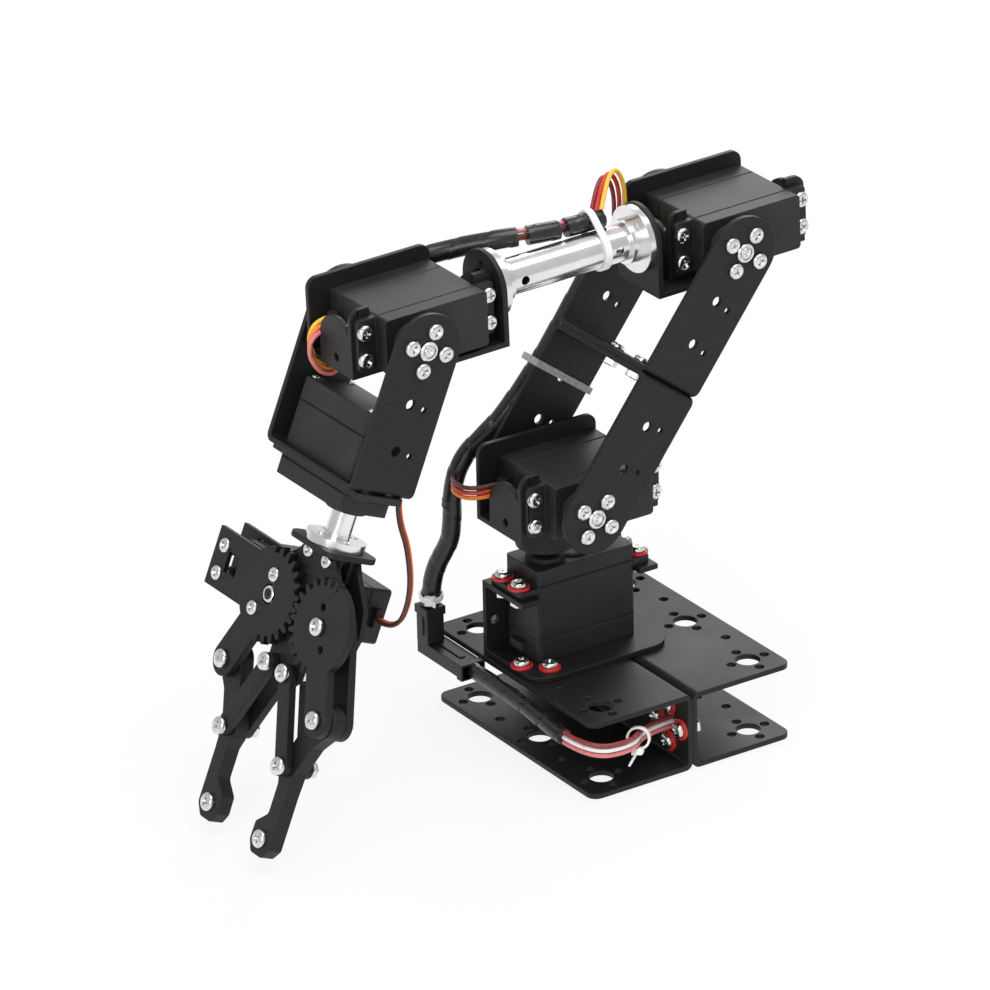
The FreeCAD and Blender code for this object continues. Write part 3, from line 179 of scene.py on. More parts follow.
def lay_floor():
    mesh = bpy.data.meshes.new("studio_floor")
    half = FLOOR_HALF
    corners = [(-half, -half, 0), (half, -half, 0), (half, half, 0), (-half, half, 0)]
    mesh.from_pydata(corners, [], [(0, 1, 2, 3)])
    mesh.materials.append(paper())
    floor = bpy.data.objects.new("studio_floor", mesh)
    floor.location.z = -FLOOR_DROP
    bpy.context.scene.collection.objects.link(floor)


lay_floor()
print("floor", 2 * FLOOR_HALF, "m wide")

# %% [markdown]
# ## Panels of light
# Black parts only show their form through what they reflect, so the lamps are large and soft: one
# panel overhead, one beside the camera and a weaker one behind.  Spot lamps are simpler, but they
# would put hard glints on the screws and leave the black sheet without form.

# %% Light panels
ARM_MIDDLE = Vector((0.03, 0.0, 0.1))


def panel(name, spot, size, watts):
    """A square lamp that faces the middle of the arm."""
    lamp = bpy.data.lights.new(name, "AREA")
    lamp.size = size
    lamp.energy = watts
    holder = bpy.data.objects.new(name, lamp)
    holder.location = spot
    holder.rotation_euler = (ARM_MIDDLE - Vector(spot)).to_track_quat("-Z", "Y").to_euler()
    bpy.context.scene.collection.objects.link(holder)


panel("top_panel", spot=(-0.1, 0.25, 1.3), size=0.9, watts=9)
panel("front_panel", spot=(1.3, 1.0, 0.9), size=1.0, watts=11)
panel("rim_panel", spot=(-0.9, -0.9, 0.8), size=0.7, watts=6)
print("room lit with 3 panels")

# %% [markdown]
# ## Finishes
# Real finishes are never quite even: paint has a skin, metal has marks, and hands leave a change of
# gloss.  Painted images could show that, but they need unwrapping.  Noise in object space needs none
# and keeps its scale on every part, so each finish is a few noise nodes.  The helpers below only wire
# nodes, and each finish sets its own numbers.

# %% Node helpers


def new_finish(name):
    finish = bpy.data.materials.new(name)
    finish.use_nodes = True
    tree = finish.node_tree
    return finish, tree, tree.nodes["Principled BSDF"]


def grain(tree, size, detail=3.0, stretch=(1, 1, 1)):
    """Noise with a grain of the given size in metres, perhaps drawn out along one axis."""
    place = tree.nodes.new("ShaderNodeTexCoord")
    scale = tree.nodes.new("ShaderNodeMapping")
    scale.inputs["Scale"].default_value = stretch
    noise = tree.nodes.new("ShaderNodeTexNoise")
    noise.inputs["Scale"].default_value = 1 / size
    noise.inputs["Detail"].default_value = detail
    tree.links.new(place.outputs["Object"], scale.inputs[0])
    tree.links.new(scale.outputs[0], noise.inputs["Vector"])
    return noise.outputs["Fac"]


def ramp(tree, source, stops):
    """Colours along a value from 0 to 1."""
    band = tree.nodes.new("ShaderNodeValToRGB")
    line = band.color_ramp
    while len(line.elements) < len(stops):
        line.elements.new(0.5)
    for element, (at, colour) in zip(line.elements, stops):
        element.position = at
        element.color = (*colour, 1)
    tree.links.new(source, band.inputs[0])
    return band.outputs[0]


def vary(tree, source, low, high):
    """A value moved into the range from low to high."""
    span = tree.nodes.new("ShaderNodeMapRange")
    span.inputs["To Min"].default_value = low
    span.inputs["To Max"].default_value = high
    tree.links.new(source, span.inputs["Value"])
    return span.outputs[0]


def bumps(tree, shader, source, strength, depth):
    """Small hills of the given depth in metres, which only tilt the light."""
    bump = tree.nodes.new("ShaderNodeBump")
    bump.inputs["Strength"].default_value = strength
    bump.inputs["Distance"].default_value = depth
    tree.links.new(source, bump.inputs["Height"])
    tree.links.new(bump.outputs[0], shader.inputs["Normal"])


def grey(level):
    """A grey with a trace of blue, as black coatings have."""
    return (level, level, level * 1.03)


print("node helpers ready")

# %% [markdown]
# ### Powder-coated sheet
# The brackets, links and plates are bent sheet under a satin black powder coat.  Powder flows into a
# fine orange peel.  A flat black with one roughness looks like a hole in the picture, so the bump
# has a grain near a third of a millimetre, and broad, faint clouds change the gloss as handling does.
# The same grain speckles the colour, and its highest points are painted paler: partly a random
# speckle in the coat, partly a painted highlight where the peaks catch the light.

# %% Powder coat


def powder_coat():
    finish, tree, shader = new_finish("powder_coated_sheet")
    cloud = grain(tree, size=30 * MM, detail=2)
    speckle_and_highlight = grain(tree, size=0.35 * MM, detail=2)
    # Paler colour on the bump's peaks: partly random speckle, partly a painted highlight.
    tint = ramp(tree, speckle_and_highlight, [(0.35, grey(0.007)), (0.62, grey(0.013)), (0.80, grey(0.036))])
    tree.links.new(tint, shader.inputs["Base Color"])
    tree.links.new(vary(tree, cloud, low=0.40, high=0.56), shader.inputs["Roughness"])
    bumps(tree, shader, speckle_and_highlight, strength=0.28, depth=0.12 * MM)
    shader.inputs["Specular IOR Level"].default_value = 0.30
    return finish


SHEET = powder_coat()
print("made", SHEET.name)

# %% [markdown]
# ### Servo mouldings
# The servo cases are glass-filled nylon: nearly black and matt, with the even grain of a
# spark-eroded mould.  They look greyer than the sheet because the rough skin scatters light.  That
# could be painted as a lighter colour, but then they would look grey in shadow too, so the grain
# goes into the roughness and the bump instead.

# %% Servo nylon


def servo_nylon():
    finish, tree, shader = new_finish("servo_nylon")
    skin = grain(tree, size=0.45 * MM, detail=4)
    cloud = grain(tree, size=18 * MM, detail=3)
    tint = ramp(tree, cloud, [(0.30, grey(0.010)), (0.70, grey(0.018))])
    tree.links.new(tint, shader.inputs["Base Color"])
    tree.links.new(vary(tree, skin, low=0.42, high=0.58), shader.inputs["Roughness"])
    bumps(tree, shader, skin, strength=0.30, depth=0.10 * MM)
    shader.inputs["Specular IOR Level"].default_value = 0.40
    return finish


NYLON = servo_nylon()
print("made", NYLON.name)

# %% [markdown]
# ### Plated screws
# The screws are nickel plated steel and almost a mirror.  A perfect mirror gives them away as
# computer pictures, because real plating is slightly wavy and has dull spots, so the same noise
# changes its colour, its gloss and its bump a little.

# %% Plated steel


def plated_steel():
    finish, tree, shader = new_finish("plated_screws")
    shader.inputs["Metallic"].default_value = 1.0
    wear = grain(tree, size=1.6 * MM, detail=3)
    tint = ramp(tree, wear, [(0.3, (0.60, 0.60, 0.59)), (0.7, (0.86, 0.86, 0.85))])
    tree.links.new(tint, shader.inputs["Base Color"])
    tree.links.new(vary(tree, wear, low=0.12, high=0.30), shader.inputs["Roughness"])
    bumps(tree, shader, wear, strength=0.10, depth=0.06 * MM)
    return finish


PLATED = plated_steel()
print("made", PLATED.name)

# %% [markdown]
# ### Polished aluminium
# The forearm tube, its flanges and the horns are polished aluminium with fine marks along the way
# that they were drawn or turned.  An anisotropic shader can stretch a highlight, but it shows no
# single marks.  Noise that is drawn out along one axis shows both, so one function makes the three
# metals, each with its own stretch.

# %% Aluminium and bearing steel
ALONG_X = (0.04, 1, 1)
ALONG_Y = (1, 0.05, 1)
EVENLY = (1, 1, 1)


def polished_metal(name, stretch):
    finish, tree, shader = new_finish(name)
    shader.inputs["Metallic"].default_value = 1.0
    lines = grain(tree, size=0.6 * MM, detail=3, stretch=stretch)
    cloud = grain(tree, size=12 * MM, detail=2)
    tint = ramp(tree, cloud, [(0.3, (0.74, 0.74, 0.75)), (0.7, (0.88, 0.88, 0.89))])
    tree.links.new(tint, shader.inputs["Base Color"])
    tree.links.new(vary(tree, lines, low=0.12, high=0.30), shader.inputs["Roughness"])
    bumps(tree, shader, lines, strength=0.05, depth=0.02 * MM)
    return finish


TUBE_METAL = polished_metal("drawn_aluminium_tube", ALONG_X)
TURNED = polished_metal("turned_aluminium", EVENLY)
BEARING = polished_metal("ground_bearing_steel", ALONG_Y)
print("made", TUBE_METAL.name, TURNED.name, BEARING.name)

# %% [markdown]
# ### Plastics of the small parts
# Fibre washers, nylon ties, wire insulation and the spiral sleeve are all simple plastics.  They
# differ in colour, in gloss and in how soft their surface looks.  A finish for each would repeat the
# same nodes, so one function takes those differences as its values.

# %% Plastics
GLOSSIER, DULLER = 0.06, 0.08
SKIN_DEPTH = 0.05 * MM


def plastic(name, dark, light, rough, grain_size=1.2 * MM, bump=0.15):
    finish, tree, shader = new_finish(name)
    skin = grain(tree, grain_size)
    tree.links.new(ramp(tree, skin, [(0.3, dark), (0.7, light)]), shader.inputs["Base Color"])
    tree.links.new(vary(tree, skin, rough - GLOSSIER, rough + DULLER), shader.inputs["Roughness"])
    bumps(tree, shader, skin, bump, SKIN_DEPTH)
    return finish


FIBRE = plastic("red_fibre_washer", (0.42, 0.012, 0.014), (0.62, 0.030, 0.026), 0.45)
TIE = plastic("white_nylon_tie", (0.78, 0.78, 0.76), (0.88, 0.88, 0.87), 0.35)
STRAP = plastic("grey_ridged_strap", grain_size=0.7 * MM, bump=0.5,
                dark=(0.24, 0.24, 0.24), light=(0.46, 0.46, 0.46), rough=0.40)
SLEEVE_SKIN = plastic("spiral_sleeve_skin", grain_size=3.0 * MM, bump=0.04,
                      dark=(0.008, 0.008, 0.009), light=(0.016, 0.016, 0.018), rough=0.26)
print("made", FIBRE.name, TIE.name, STRAP.name, SLEEVE_SKIN.name)

# %% [markdown]
# The wires of a servo lead are thin PVC tubes in fixed colours.  A single material with a random
# colour would be shorter, but the order of the colours is what makes three wires read as a servo
# lead, so each colour is a finish of its own.

# %% Wire colours
WIRE = {
    "red": plastic("red_wire", (0.50, 0.030, 0.018), (0.62, 0.055, 0.030), 0.38),
    "orange": plastic("orange_wire", (0.80, 0.18, 0.020), (0.88, 0.26, 0.030), 0.38),
    "yellow": plastic("yellow_wire", (0.82, 0.45, 0.040), (0.90, 0.55, 0.060), 0.38),
    "brown": plastic("brown_wire", (0.070, 0.022, 0.014), (0.11, 0.034, 0.020), 0.40),
    "pink": plastic("pink_wire", (0.62, 0.16, 0.17), (0.74, 0.25, 0.25), 0.36),
    "white": plastic("white_wire", (0.78, 0.76, 0.75), (0.90, 0.88, 0.87), 0.34),
    "maroon": plastic("maroon_wire", (0.20, 0.022, 0.025), (0.30, 0.040, 0.040), 0.38),
}
print("made", len(WIRE), "wire colours")

# %% [markdown]
# ## Soft edges
# No edge under powder coat is sharp: the coat rounds it, and a thin grey line of light runs along it.
# The CAD meshes must stay as they are, so the rounding is a stack of modifiers.  A bevel alone would
# leave streaks, because CAD flats come cut into long triangles.  So the seams are welded and each
# flat is made whole first, then the edges are bevelled, and last the flats are cut again and shaded
# by their size, which keeps them flat.

# %% Edge modifiers
EDGE_WIDTH = {"black_sheet": 0.28 * MM, "servo_plastic": 0.30 * MM}
FINE_EDGE = 0.10 * MM
WELD_REACH = 0.004 * MM
FLAT_ANGLE = math.radians(0.5)
EDGE_ANGLE = math.radians(35)
LARGE_FACE_WEIGHT = 95


def soften_edges(thing, width):
    weld = thing.modifiers.new("join_seams", "WELD")
    weld.merge_threshold = WELD_REACH
    flats = thing.modifiers.new("whole_flats", "DECIMATE")
    flats.decimate_type = "DISSOLVE"
    flats.angle_limit = FLAT_ANGLE
    bevel = thing.modifiers.new("soft_edges", "BEVEL")
    bevel.width = width
    bevel.segments = 2
    bevel.limit_method = "ANGLE"
    bevel.angle_limit = EDGE_ANGLE
    bevel.use_clamp_overlap = False
    bevel.harden_normals = True
    cut = thing.modifiers.new("cut_flats", "TRIANGULATE")
    cut.ngon_method = "BEAUTY"
    cut.quad_method = "FIXED"
    shade = thing.modifiers.new("even_shading", "WEIGHTED_NORMAL")
    shade.weight = LARGE_FACE_WEIGHT
    shade.keep_sharp = False


print("edge widths in mm", {slot: round(width / MM, 2) for slot, width in EDGE_WIDTH.items()})

# %% [markdown]
# ## Dress the CAD nodes
# Each CAD part carries the name of its material slot, so a table from slot to finish dresses all of
# them.  Choosing by part name would need a line for each part.  Only two parts differ from their
# slot: the forearm tube shows marks along its length, and the strap on the upper arm is grey.

# %% Finishes by slot
SLOT_FINISH = {
    "black_sheet": SHEET,
    "servo_plastic": NYLON,
    "red_fibre": FIBRE,
    "screw_steel": PLATED,
    "bright_aluminium": TURNED,
    "bearing_steel": BEARING,
    "spiral_sleeve": SLEEVE_SKIN,
    "lead_insulation": WIRE["red"],
    "tie_nylon": TIE,
}
OWN_FINISH = {"forearm_tube": TUBE_METAL, "arm_tie": STRAP}


def dress(name, thing):
    """Give a node its own finish or that of its slot, whose name its CAD material carries."""
    slot = thing.data.materials[0].name.split(".")[0]
    thing.data.materials[0] = OWN_FINISH.get(name, SLOT_FINISH[slot])
    soften_edges(thing, EDGE_WIDTH.get(slot, FINE_EDGE))


for node_name, node_object in NODES.items():
    dress(node_name, node_object)
print("dressed", len(NODES), "nodes")

# %% [markdown]
# ## Screws
# A plain CAD screw is two cylinders.  The real ones are pan heads with a cross recess and a threaded
# shank, some with a hexagon nut.  Typing in where they are would repeat the CAD model and could
# drift from it.  So every screw is read back from its node's mesh: its solid is found, then the axis
# that it turns about, and then its head end and its radii.

# %% Find the solids of a node


def islands(thing):
    """The separate solids of a node, each as a list of points."""
    work = bmesh.new()
    work.from_mesh(thing.data)
    bmesh.ops.remove_doubles(work, verts=work.verts, dist=WELD_REACH)
    work.verts.ensure_lookup_table()
    waiting = set(range(len(work.verts)))
    found = []
    while waiting:
        stack = [waiting.pop()]
        group = []
        while stack:
            index = stack.pop()
            group.append(work.verts[index].co.copy())
            for edge in work.verts[index].link_edges:
                other = edge.other_vert(work.verts[index]).index
                if other in waiting:
                    waiting.remove(other)
                    stack.append(other)
        found.append(group)
    work.free()
    return found


print("solids in claw_bolts", len(islands(NODES["claw_bolts"])))

# %% [markdown]
# Seen along its axis, a turned form has few different radii, and seen along any other direction it
# has many.  So of the directions that a screw may have, the one with the fewest radii is its axis.
# That is simpler than fitting a cylinder, and screws only point a few ways here.

# %% Measure a screw
END_SLICE = 0.2 * MM
CORE = 0.5 * MM
RIM_SHARE = 0.97


def turning_axis(points, guesses):
    """The guess about which the points lie at the fewest radii."""
    middle = sum(points, Vector()) / len(points)
    best, spread = None, None
    for guess in guesses:
        away = [(p - middle) - (p - middle).dot(guess) * guess for p in points]
        radii = {round(a.length / MM, 1) for a in away}
        if best is None or len(radii) < spread:
            best, spread = guess, len(radii)
    return best


def measure_screw(points, axis):
    """A screw's head, shank and nut sizes, with its axis pointing out of its head."""
    low = min(p.dot(axis) for p in points)
    high = max(p.dot(axis) for p in points)
    ends = [p - p.dot(axis) * axis for p in points if abs(p.dot(axis) - low) < WELD_REACH]
    centre = sum(ends, Vector()) / len(ends)
    rows = [(p.dot(axis), ((p - p.dot(axis) * axis) - centre).length) for p in points]
    wide_low = max(r for level, r in rows if level - low < END_SLICE)
    wide_high = max(r for level, r in rows if high - level < END_SLICE)
    if wide_low > wide_high:
        return measure_screw(points, -axis)
    shank = min(r for level, r in rows if r > CORE)
    half_way = (low + high) / 2
    rim = [level for level, r in rows if r > RIM_SHARE * wide_high and level > half_way]
    return {"axis": axis, "centre": centre, "tip": low, "top": high, "under": min(rim, default=high),
            "head": wide_high, "shank": shank, "nut": wide_low}


print("screw reader ready")

# %% [markdown]
# ### Turned forms
# Screw heads, shanks and horns are all turned, so one function spins a profile of radius and height.
# Blender's Screw modifier does the same, but its result would have to be read back from the
# modifier each time, while a few lines of bmesh give a closed mesh at once.

# %% Lathe
TURN_STEPS = 28


def lathe(rows, steps=TURN_STEPS):
    """A closed turned form from pairs of radius and height, both in units of the piece."""
    work = bmesh.new()
    rings = []
    for radius, height in rows:
        if radius == 0:
            rings.append([work.verts.new((0, 0, height))])
            continue
        ring = []
        for step in range(steps):
            turn = 2 * math.pi * step / steps
            ring.append(work.verts.new((radius * math.cos(turn), radius * math.sin(turn), height)))
        rings.append(ring)
    for first, second in zip(rings, rings[1:]):
        for step in range(steps):
            a, b = first[step % len(first)], first[(step + 1) % len(first)]
            c, d = second[(step + 1) % len(second)], second[step % len(second)]
            corners = [v for i, v in enumerate((a, b, c, d)) if v not in (a, b, c, d)[:i]]
            if len(corners) > 2:
                work.faces.new(corners)
    bmesh.ops.recalc_face_normals(work, faces=work.faces)
    mesh = bpy.data.meshes.new("turned")
    work.to_mesh(mesh)
    work.free()
    return mesh


print("lathe ready with", TURN_STEPS, "steps a turn")

# %% [markdown]
# ### One head, cut once
# The head is a turned profile: a flat seat, a short rim and a dome, with a cross recess for the
# driver.  A bump map can draw a cross, but it stays flat from the side.  Two tapered bars taken away
# with a boolean leave crisp inner edges that sparkle as real recesses do.  The cut is slow, so one
# head of radius 1 and height 1 is made, and every screw gets a stretched copy.

# %% Pan head
DOME_STEPS = 5
SEAT_WIDE, SEAT_ROUND, RIM_TOP, CROWN_WIDE = 0.97, 0.06, 0.38, 0.55
RECESS_LONG, RECESS_WIDE = 1.22, 0.26
RECESS_FLOOR, RECESS_TOP = 0.42, 1.25
RECESS_TAPER, RECESS_SIDES = 0.35, 0.6


def head_profile():
    rows = [(0, 0), (SEAT_WIDE, 0), (1.0, SEAT_ROUND), (1.0, RIM_TOP)]
    for step in range(1, DOME_STEPS + 1):
        turn = math.pi / 2 * step / DOME_STEPS
        reach = CROWN_WIDE + (1 - CROWN_WIDE) * math.cos(turn)
        rows.append((reach, RIM_TOP + (1 - RIM_TOP) * math.sin(turn)))
    rows.append((0, 1.0))
    return rows


def recess_cutter():
    """Two crossed bars that narrow towards their lower ends."""
    cutter = bmesh.new()
    for turn in (0, math.pi / 2):
        bar = bmesh.ops.create_cube(cutter, size=1.0)["verts"]
        for corner in bar:
            narrow = RECESS_TAPER if corner.co.z < 0 else 1.0
            x = corner.co.x * RECESS_LONG * narrow
            y = corner.co.y * RECESS_WIDE * (RECESS_SIDES + (1 - RECESS_SIDES) * narrow)
            z = RECESS_FLOOR if corner.co.z < 0 else RECESS_TOP
            across, along = math.cos(turn), math.sin(turn)
            corner.co = (x * across - y * along, x * along + y * across, z)
    mesh = bpy.data.meshes.new("recess_cutter")
    cutter.to_mesh(mesh)
    cutter.free()
    return mesh


def pan_head():
    """A pan head with radius 1 and height 1, seated at z = 0, with a cross recess."""
    head = bpy.data.objects.new("head_blank", lathe(head_profile()))
    cross = bpy.data.objects.new("recess_cutter", recess_cutter())
    for thing in (head, cross):
        bpy.context.scene.collection.objects.link(thing)
    cut = head.modifiers.new("recess", "BOOLEAN")
    cut.object = cross
    cut.operation = "DIFFERENCE"
    cut.solver = "EXACT"
    cut.use_self = True
    bpy.context.view_layer.update()
    done = bpy.data.meshes.new_from_object(head.evaluated_get(bpy.context.evaluated_depsgraph_get()))
    for thing in (head, cross):
        bpy.data.objects.remove(thing)
    return done


HEAD = pan_head()
print("screw head", len(HEAD.polygons), "faces")

# %% [markdown]
# ### Threaded shank
# A true thread is a helix.  On shanks that are three millimetres thick and mostly hidden it can't be
# told from a stack of rings, so the shank is a turned profile that rises and falls once for each
# turn of the thread.

# %% Shank
THREAD_PITCH = 0.5 * MM
THREAD_ROOT = 0.88
THREAD_SLOPE = 0.3
SHANK_POINT = 0.8
SHANK_SIDES = 14


def threaded_shank(radius, length):
    """A shank from z = 0 up, whose profile follows its thread."""
    rows = [(0, 0), (radius * SHANK_POINT, 0)]
    count = max(2, int(length / THREAD_PITCH))
    for step in range(count):
        level = length * (step + 0.5) / count
        rows.append((radius * THREAD_ROOT, level - length / count * THREAD_SLOPE))
        rows.append((radius, level))
    rows += [(radius * THREAD_ROOT, length), (0, length)]
    return lathe(rows, SHANK_SIDES)


print("thread pitch", round(THREAD_PITCH / MM, 2), "mm")

# %% [markdown]
# ### Hexagon nut
# The nuts show behind the sheet as bright hexagons whose corners are turned down.  A six-sided
# cylinder with a bevel would round every edge alike.  Four stacked hexagons, the outer two a little
# smaller, turn down only the ends, as on a real nut.

# %% Nut
NUT_SIDES = 6
NUT_LAYERS = ((0.90, 0), (1.0, 0.12), (1.0, 0.88), (0.90, 1.0))


def hex_nut(radius, bore, height):
    """A hexagon nut with turned-down corners, whose bore is closed because a shank fills it."""
    work = bmesh.new()
    turns = [math.radians(360 / NUT_SIDES * side) for side in range(NUT_SIDES)]
    layers = []
    for share, level in NUT_LAYERS:
        wide = radius * share
        layers.append([work.verts.new((wide * math.cos(turn), wide * math.sin(turn), height * level))
                       for turn in turns])
    for first, second in zip(layers, layers[1:]):
        for k in range(NUT_SIDES):
            after = (k + 1) % NUT_SIDES
            work.faces.new((first[k], first[after], second[after], second[k]))
    for ring in (layers[0], layers[-1]):
        inner = []
        for corner in ring:
            inward = Vector((corner.co.x, corner.co.y, 0)).normalized() * bore
            inner.append(work.verts.new(inward + Vector((0, 0, corner.co.z))))
        for k in range(NUT_SIDES):
            after = (k + 1) % NUT_SIDES
            work.faces.new((ring[k], ring[after], inner[after], inner[k]))
        work.faces.new(inner)
    bmesh.ops.recalc_face_normals(work, faces=work.faces)
    mesh = bpy.data.meshes.new("nut")
    work.to_mesh(mesh)
    work.free()
    return mesh


print("nut helper ready")

# %% [markdown]
# ### Pieces that ride on a body
# A robot arm moves, so a new piece is put on the body that carries it.  A piece that crosses a
# joint is put on no body and stays where it is built.

# %% Pieces
SCREW_CREASE, TUBE_CREASE = 40, 60


def new_piece(name, work, finish, crease):
    """Turn a work mesh into an object with one finish, smooth but for edges over the crease angle."""
    mesh = bpy.data.meshes.new(name)
    work.to_mesh(mesh)
    work.free()
    mesh.materials.clear()
    mesh.materials.append(finish)
    mesh.polygons.foreach_set("material_index", [0] * len(mesh.polygons))
    mesh.shade_smooth()
    mesh.set_sharp_from_angle(angle=math.radians(crease))
    piece = bpy.data.objects.new(name, mesh)
    bpy.context.scene.collection.objects.link(piece)
    return piece


def finish_piece(name, work, body, finish, nodes=(), crease=SCREW_CREASE):
    """A piece that rides on a body and may stand for CAD nodes."""
    piece = new_piece(name, work, finish, crease)
    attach(piece, body)
    if nodes:
        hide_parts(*nodes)
    return piece


def blended_piece(name, work, finish, nodes=()):
    """A piece that crosses the joint of two bodies, left in the world on neither of them."""
    piece = new_piece(name, work, finish, TUBE_CREASE)
    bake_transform(piece)
    if nodes:
        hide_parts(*nodes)
    return piece


print("piece helpers ready")

# %% [markdown]
# ### Set the screws
# A screw is put together from its head, its shank and perhaps its nut.  Each head is turned by its
# own random angle, since nobody lines up the slots.  A nut is added where the shank is long enough
# to come out behind.  Instances would save memory, but all screws of a node are joined into one
# piece, which can then stand for that node.

# %% One screw
NUT_SHANK = 6.0 * MM
NUT_HEIGHT = 2.4 * MM
NUT_ACROSS = 3.1 * MM
NUT_BORE = 0.9
NUT_LIFT = 0.15 * MM
NUT_TURN = 0.3


def add_part(work, mesh, matrix):
    """Copy a mesh into the work mesh, moved by the matrix."""
    before = len(work.verts)
    work.from_mesh(mesh)
    work.verts.ensure_lookup_table()
    for index in range(before, len(work.verts)):
        work.verts[index].co = matrix @ work.verts[index].co


def stand(axis, spot, turn):
    """A matrix that lays +Z along an axis at a spot, turned about it."""
    upright = axis.to_track_quat("Z", "Y").to_matrix().to_4x4()
    return Matrix.Translation(spot) @ upright @ Matrix.Rotation(turn, 4, "Z")


def set_screw(work, size, nut):
    axis, centre = size["axis"], size["centre"]
    turn = random.uniform(0, math.pi)
    head = stand(axis, centre + axis * size["under"], turn)
    tall = size["top"] - size["under"]
    add_part(work, HEAD, head @ Matrix.Diagonal((size["head"], size["head"], tall, 1)))
    shank = threaded_shank(size["shank"], size["under"] - size["tip"])
    add_part(work, shank, stand(axis, centre + axis * size["tip"], turn))
    if nut:
        form = hex_nut(max(size["nut"], NUT_ACROSS), size["shank"] * NUT_BORE, NUT_HEIGHT)
        add_part(work, form, stand(axis, centre + axis * (size["tip"] + NUT_LIFT), turn + NUT_TURN))


print("screw setter ready")

# %% [markdown]
# Among the screws of a servo horn, the one in the middle is a bright metal hub.  Its CAD solid is a
# plain cylinder, which is how it is told from a screw.  The hub is turned with a well in its face,
# and a small screw sits in the well.

# %% One hub
HORN_CHAMFER = 0.3 * MM
HORN_WELL, HORN_WELL_FOOT, HORN_FLOOR = 0.72, 0.68, 0.80
HORN_SCREW, HORN_SCREW_TALL = 0.60, 0.30


def set_hub(work, size):
    """The bright hub that shows in the middle of a horn, with its own small screw."""
    axis = size["axis"]
    tall = size["top"] - size["tip"]
    wide = size["head"]
    floor = tall * HORN_FLOOR
    rows = [(0, 0), (wide, 0), (wide, tall - HORN_CHAMFER), (wide - HORN_CHAMFER, tall)]
    rows += [(wide * HORN_WELL, tall), (wide * HORN_WELL_FOOT, floor), (0, floor)]
    add_part(work, lathe(rows), stand(axis, size["centre"] + axis * size["tip"], 0))
    seat = stand(axis, size["centre"] + axis * (size["tip"] + floor), random.uniform(0, math.pi))
    screw = Matrix.Diagonal((wide * HORN_SCREW, wide * HORN_SCREW, tall * HORN_SCREW_TALL, 1))
    add_part(work, HEAD, seat @ screw)


print("hub setter ready")

# %% [markdown]
# Screws only point along the directions of the part that they hold together.  The upper arm leans
# back from upright, and the claw tilts with the wrist, so both have directions of their own.

# %% Directions of the parts


def unit(x, y, z):
    return Vector((x, y, z)).normalized()


UP, ACROSS, REACH = unit(0, 0, 1), unit(0, 1, 0), unit(1, 0, 0)
UPPER_LEAN = math.radians(37.0)
WRIST_TILT = math.radians(22.5)
FOREARM_DROP = math.radians(1.5)
ARM_UP = unit(-math.sin(UPPER_LEAN), 0, math.cos(UPPER_LEAN))
ARM_LEVEL = unit(math.cos(UPPER_LEAN), 0, math.sin(UPPER_LEAN))
FOREARM_OUT = unit(math.cos(FOREARM_DROP), 0, -math.sin(FOREARM_DROP))
FOREARM_UP = unit(math.sin(FOREARM_DROP), 0, math.cos(FOREARM_DROP))
CLAW_FRONT = unit(math.cos(WRIST_TILT), 0, math.sin(WRIST_TILT))
HAND_UP = Vector((-math.sin(WRIST_TILT), 0, math.cos(WRIST_TILT)))
print("claw front", tuple(round(v, 3) for v in CLAW_FRONT))

# %% [markdown]
# With the helpers above, a table of nodes is enough: for each, the body that carries its screws and
# the directions in which they may point.

# %% All screws
PLAIN_SHARE = 1.2
SCREW_SETS = {
    "base_screws": ("base", (REACH, UP)),
    "turret_screws": ("turret", (ACROSS,)),
    "arm_screws": ("upper_arm", (ACROSS, ARM_UP)),
    "forearm_screws": ("forearm", (ACROSS,)),
    "wrist_screws": ("hand", (ACROSS,)),
    "claw_bolts": ("claw", (CLAW_FRONT,)),
    "finger_left_bolts": ("finger_left", (CLAW_FRONT,)),
    "finger_right_bolts": ("finger_right", (CLAW_FRONT,)),
}


def set_screws(node, body, guesses):
    """Replace a node of plain screws by detailed ones, and say how many there are."""
    work = bmesh.new()
    solids = islands(NODES[node])
    for points in solids:
        size = measure_screw(points, turning_axis(points, guesses))
        if size["head"] < PLAIN_SHARE * size["shank"]:
            set_hub(work, size)
        else:
            set_screw(work, size, size["under"] - size["tip"] > NUT_SHANK)
    finish_piece(f"{node}_detailed", work, body, PLATED, [node])
    return len(solids)


for node, (body, guesses) in SCREW_SETS.items():
    print(node, set_screws(node, body, guesses), "screws")

# %% [markdown]
# ## Smooth lines for cables
# A cable bends smoothly, and its route is a few given points, the same as in the CAD model.
# Straight runs with rounded corners would look like bent wire.  A NURBS line only leans towards its
# control points, which is how a cable hangs between its holds, so the routes are turned into NURBS
# lines and read back as points.

# %% Smooth lines
LINE_STEPS = 24


def smooth_line(points):
    """Points along the smooth NURBS line that the route's corners control."""
    curve = bpy.data.curves.new("route", "CURVE")
    curve.dimensions = "3D"
    spline = curve.splines.new("NURBS")
    spline.points.add(len(points) - 1)
    for point, spot in zip(spline.points, points):
        point.co = (*spot, 1)
    spline.order_u = 3
    spline.use_endpoint_u = True
    spline.resolution_u = LINE_STEPS
    holder = bpy.data.objects.new("route", curve)
    bpy.context.scene.collection.objects.link(holder)
    bpy.context.view_layer.update()
    mesh = bpy.data.meshes.new_from_object(holder.evaluated_get(bpy.context.evaluated_depsgraph_get()))
    line = [v.co.copy() for v in mesh.vertices]
    bpy.data.objects.remove(holder)
    return line


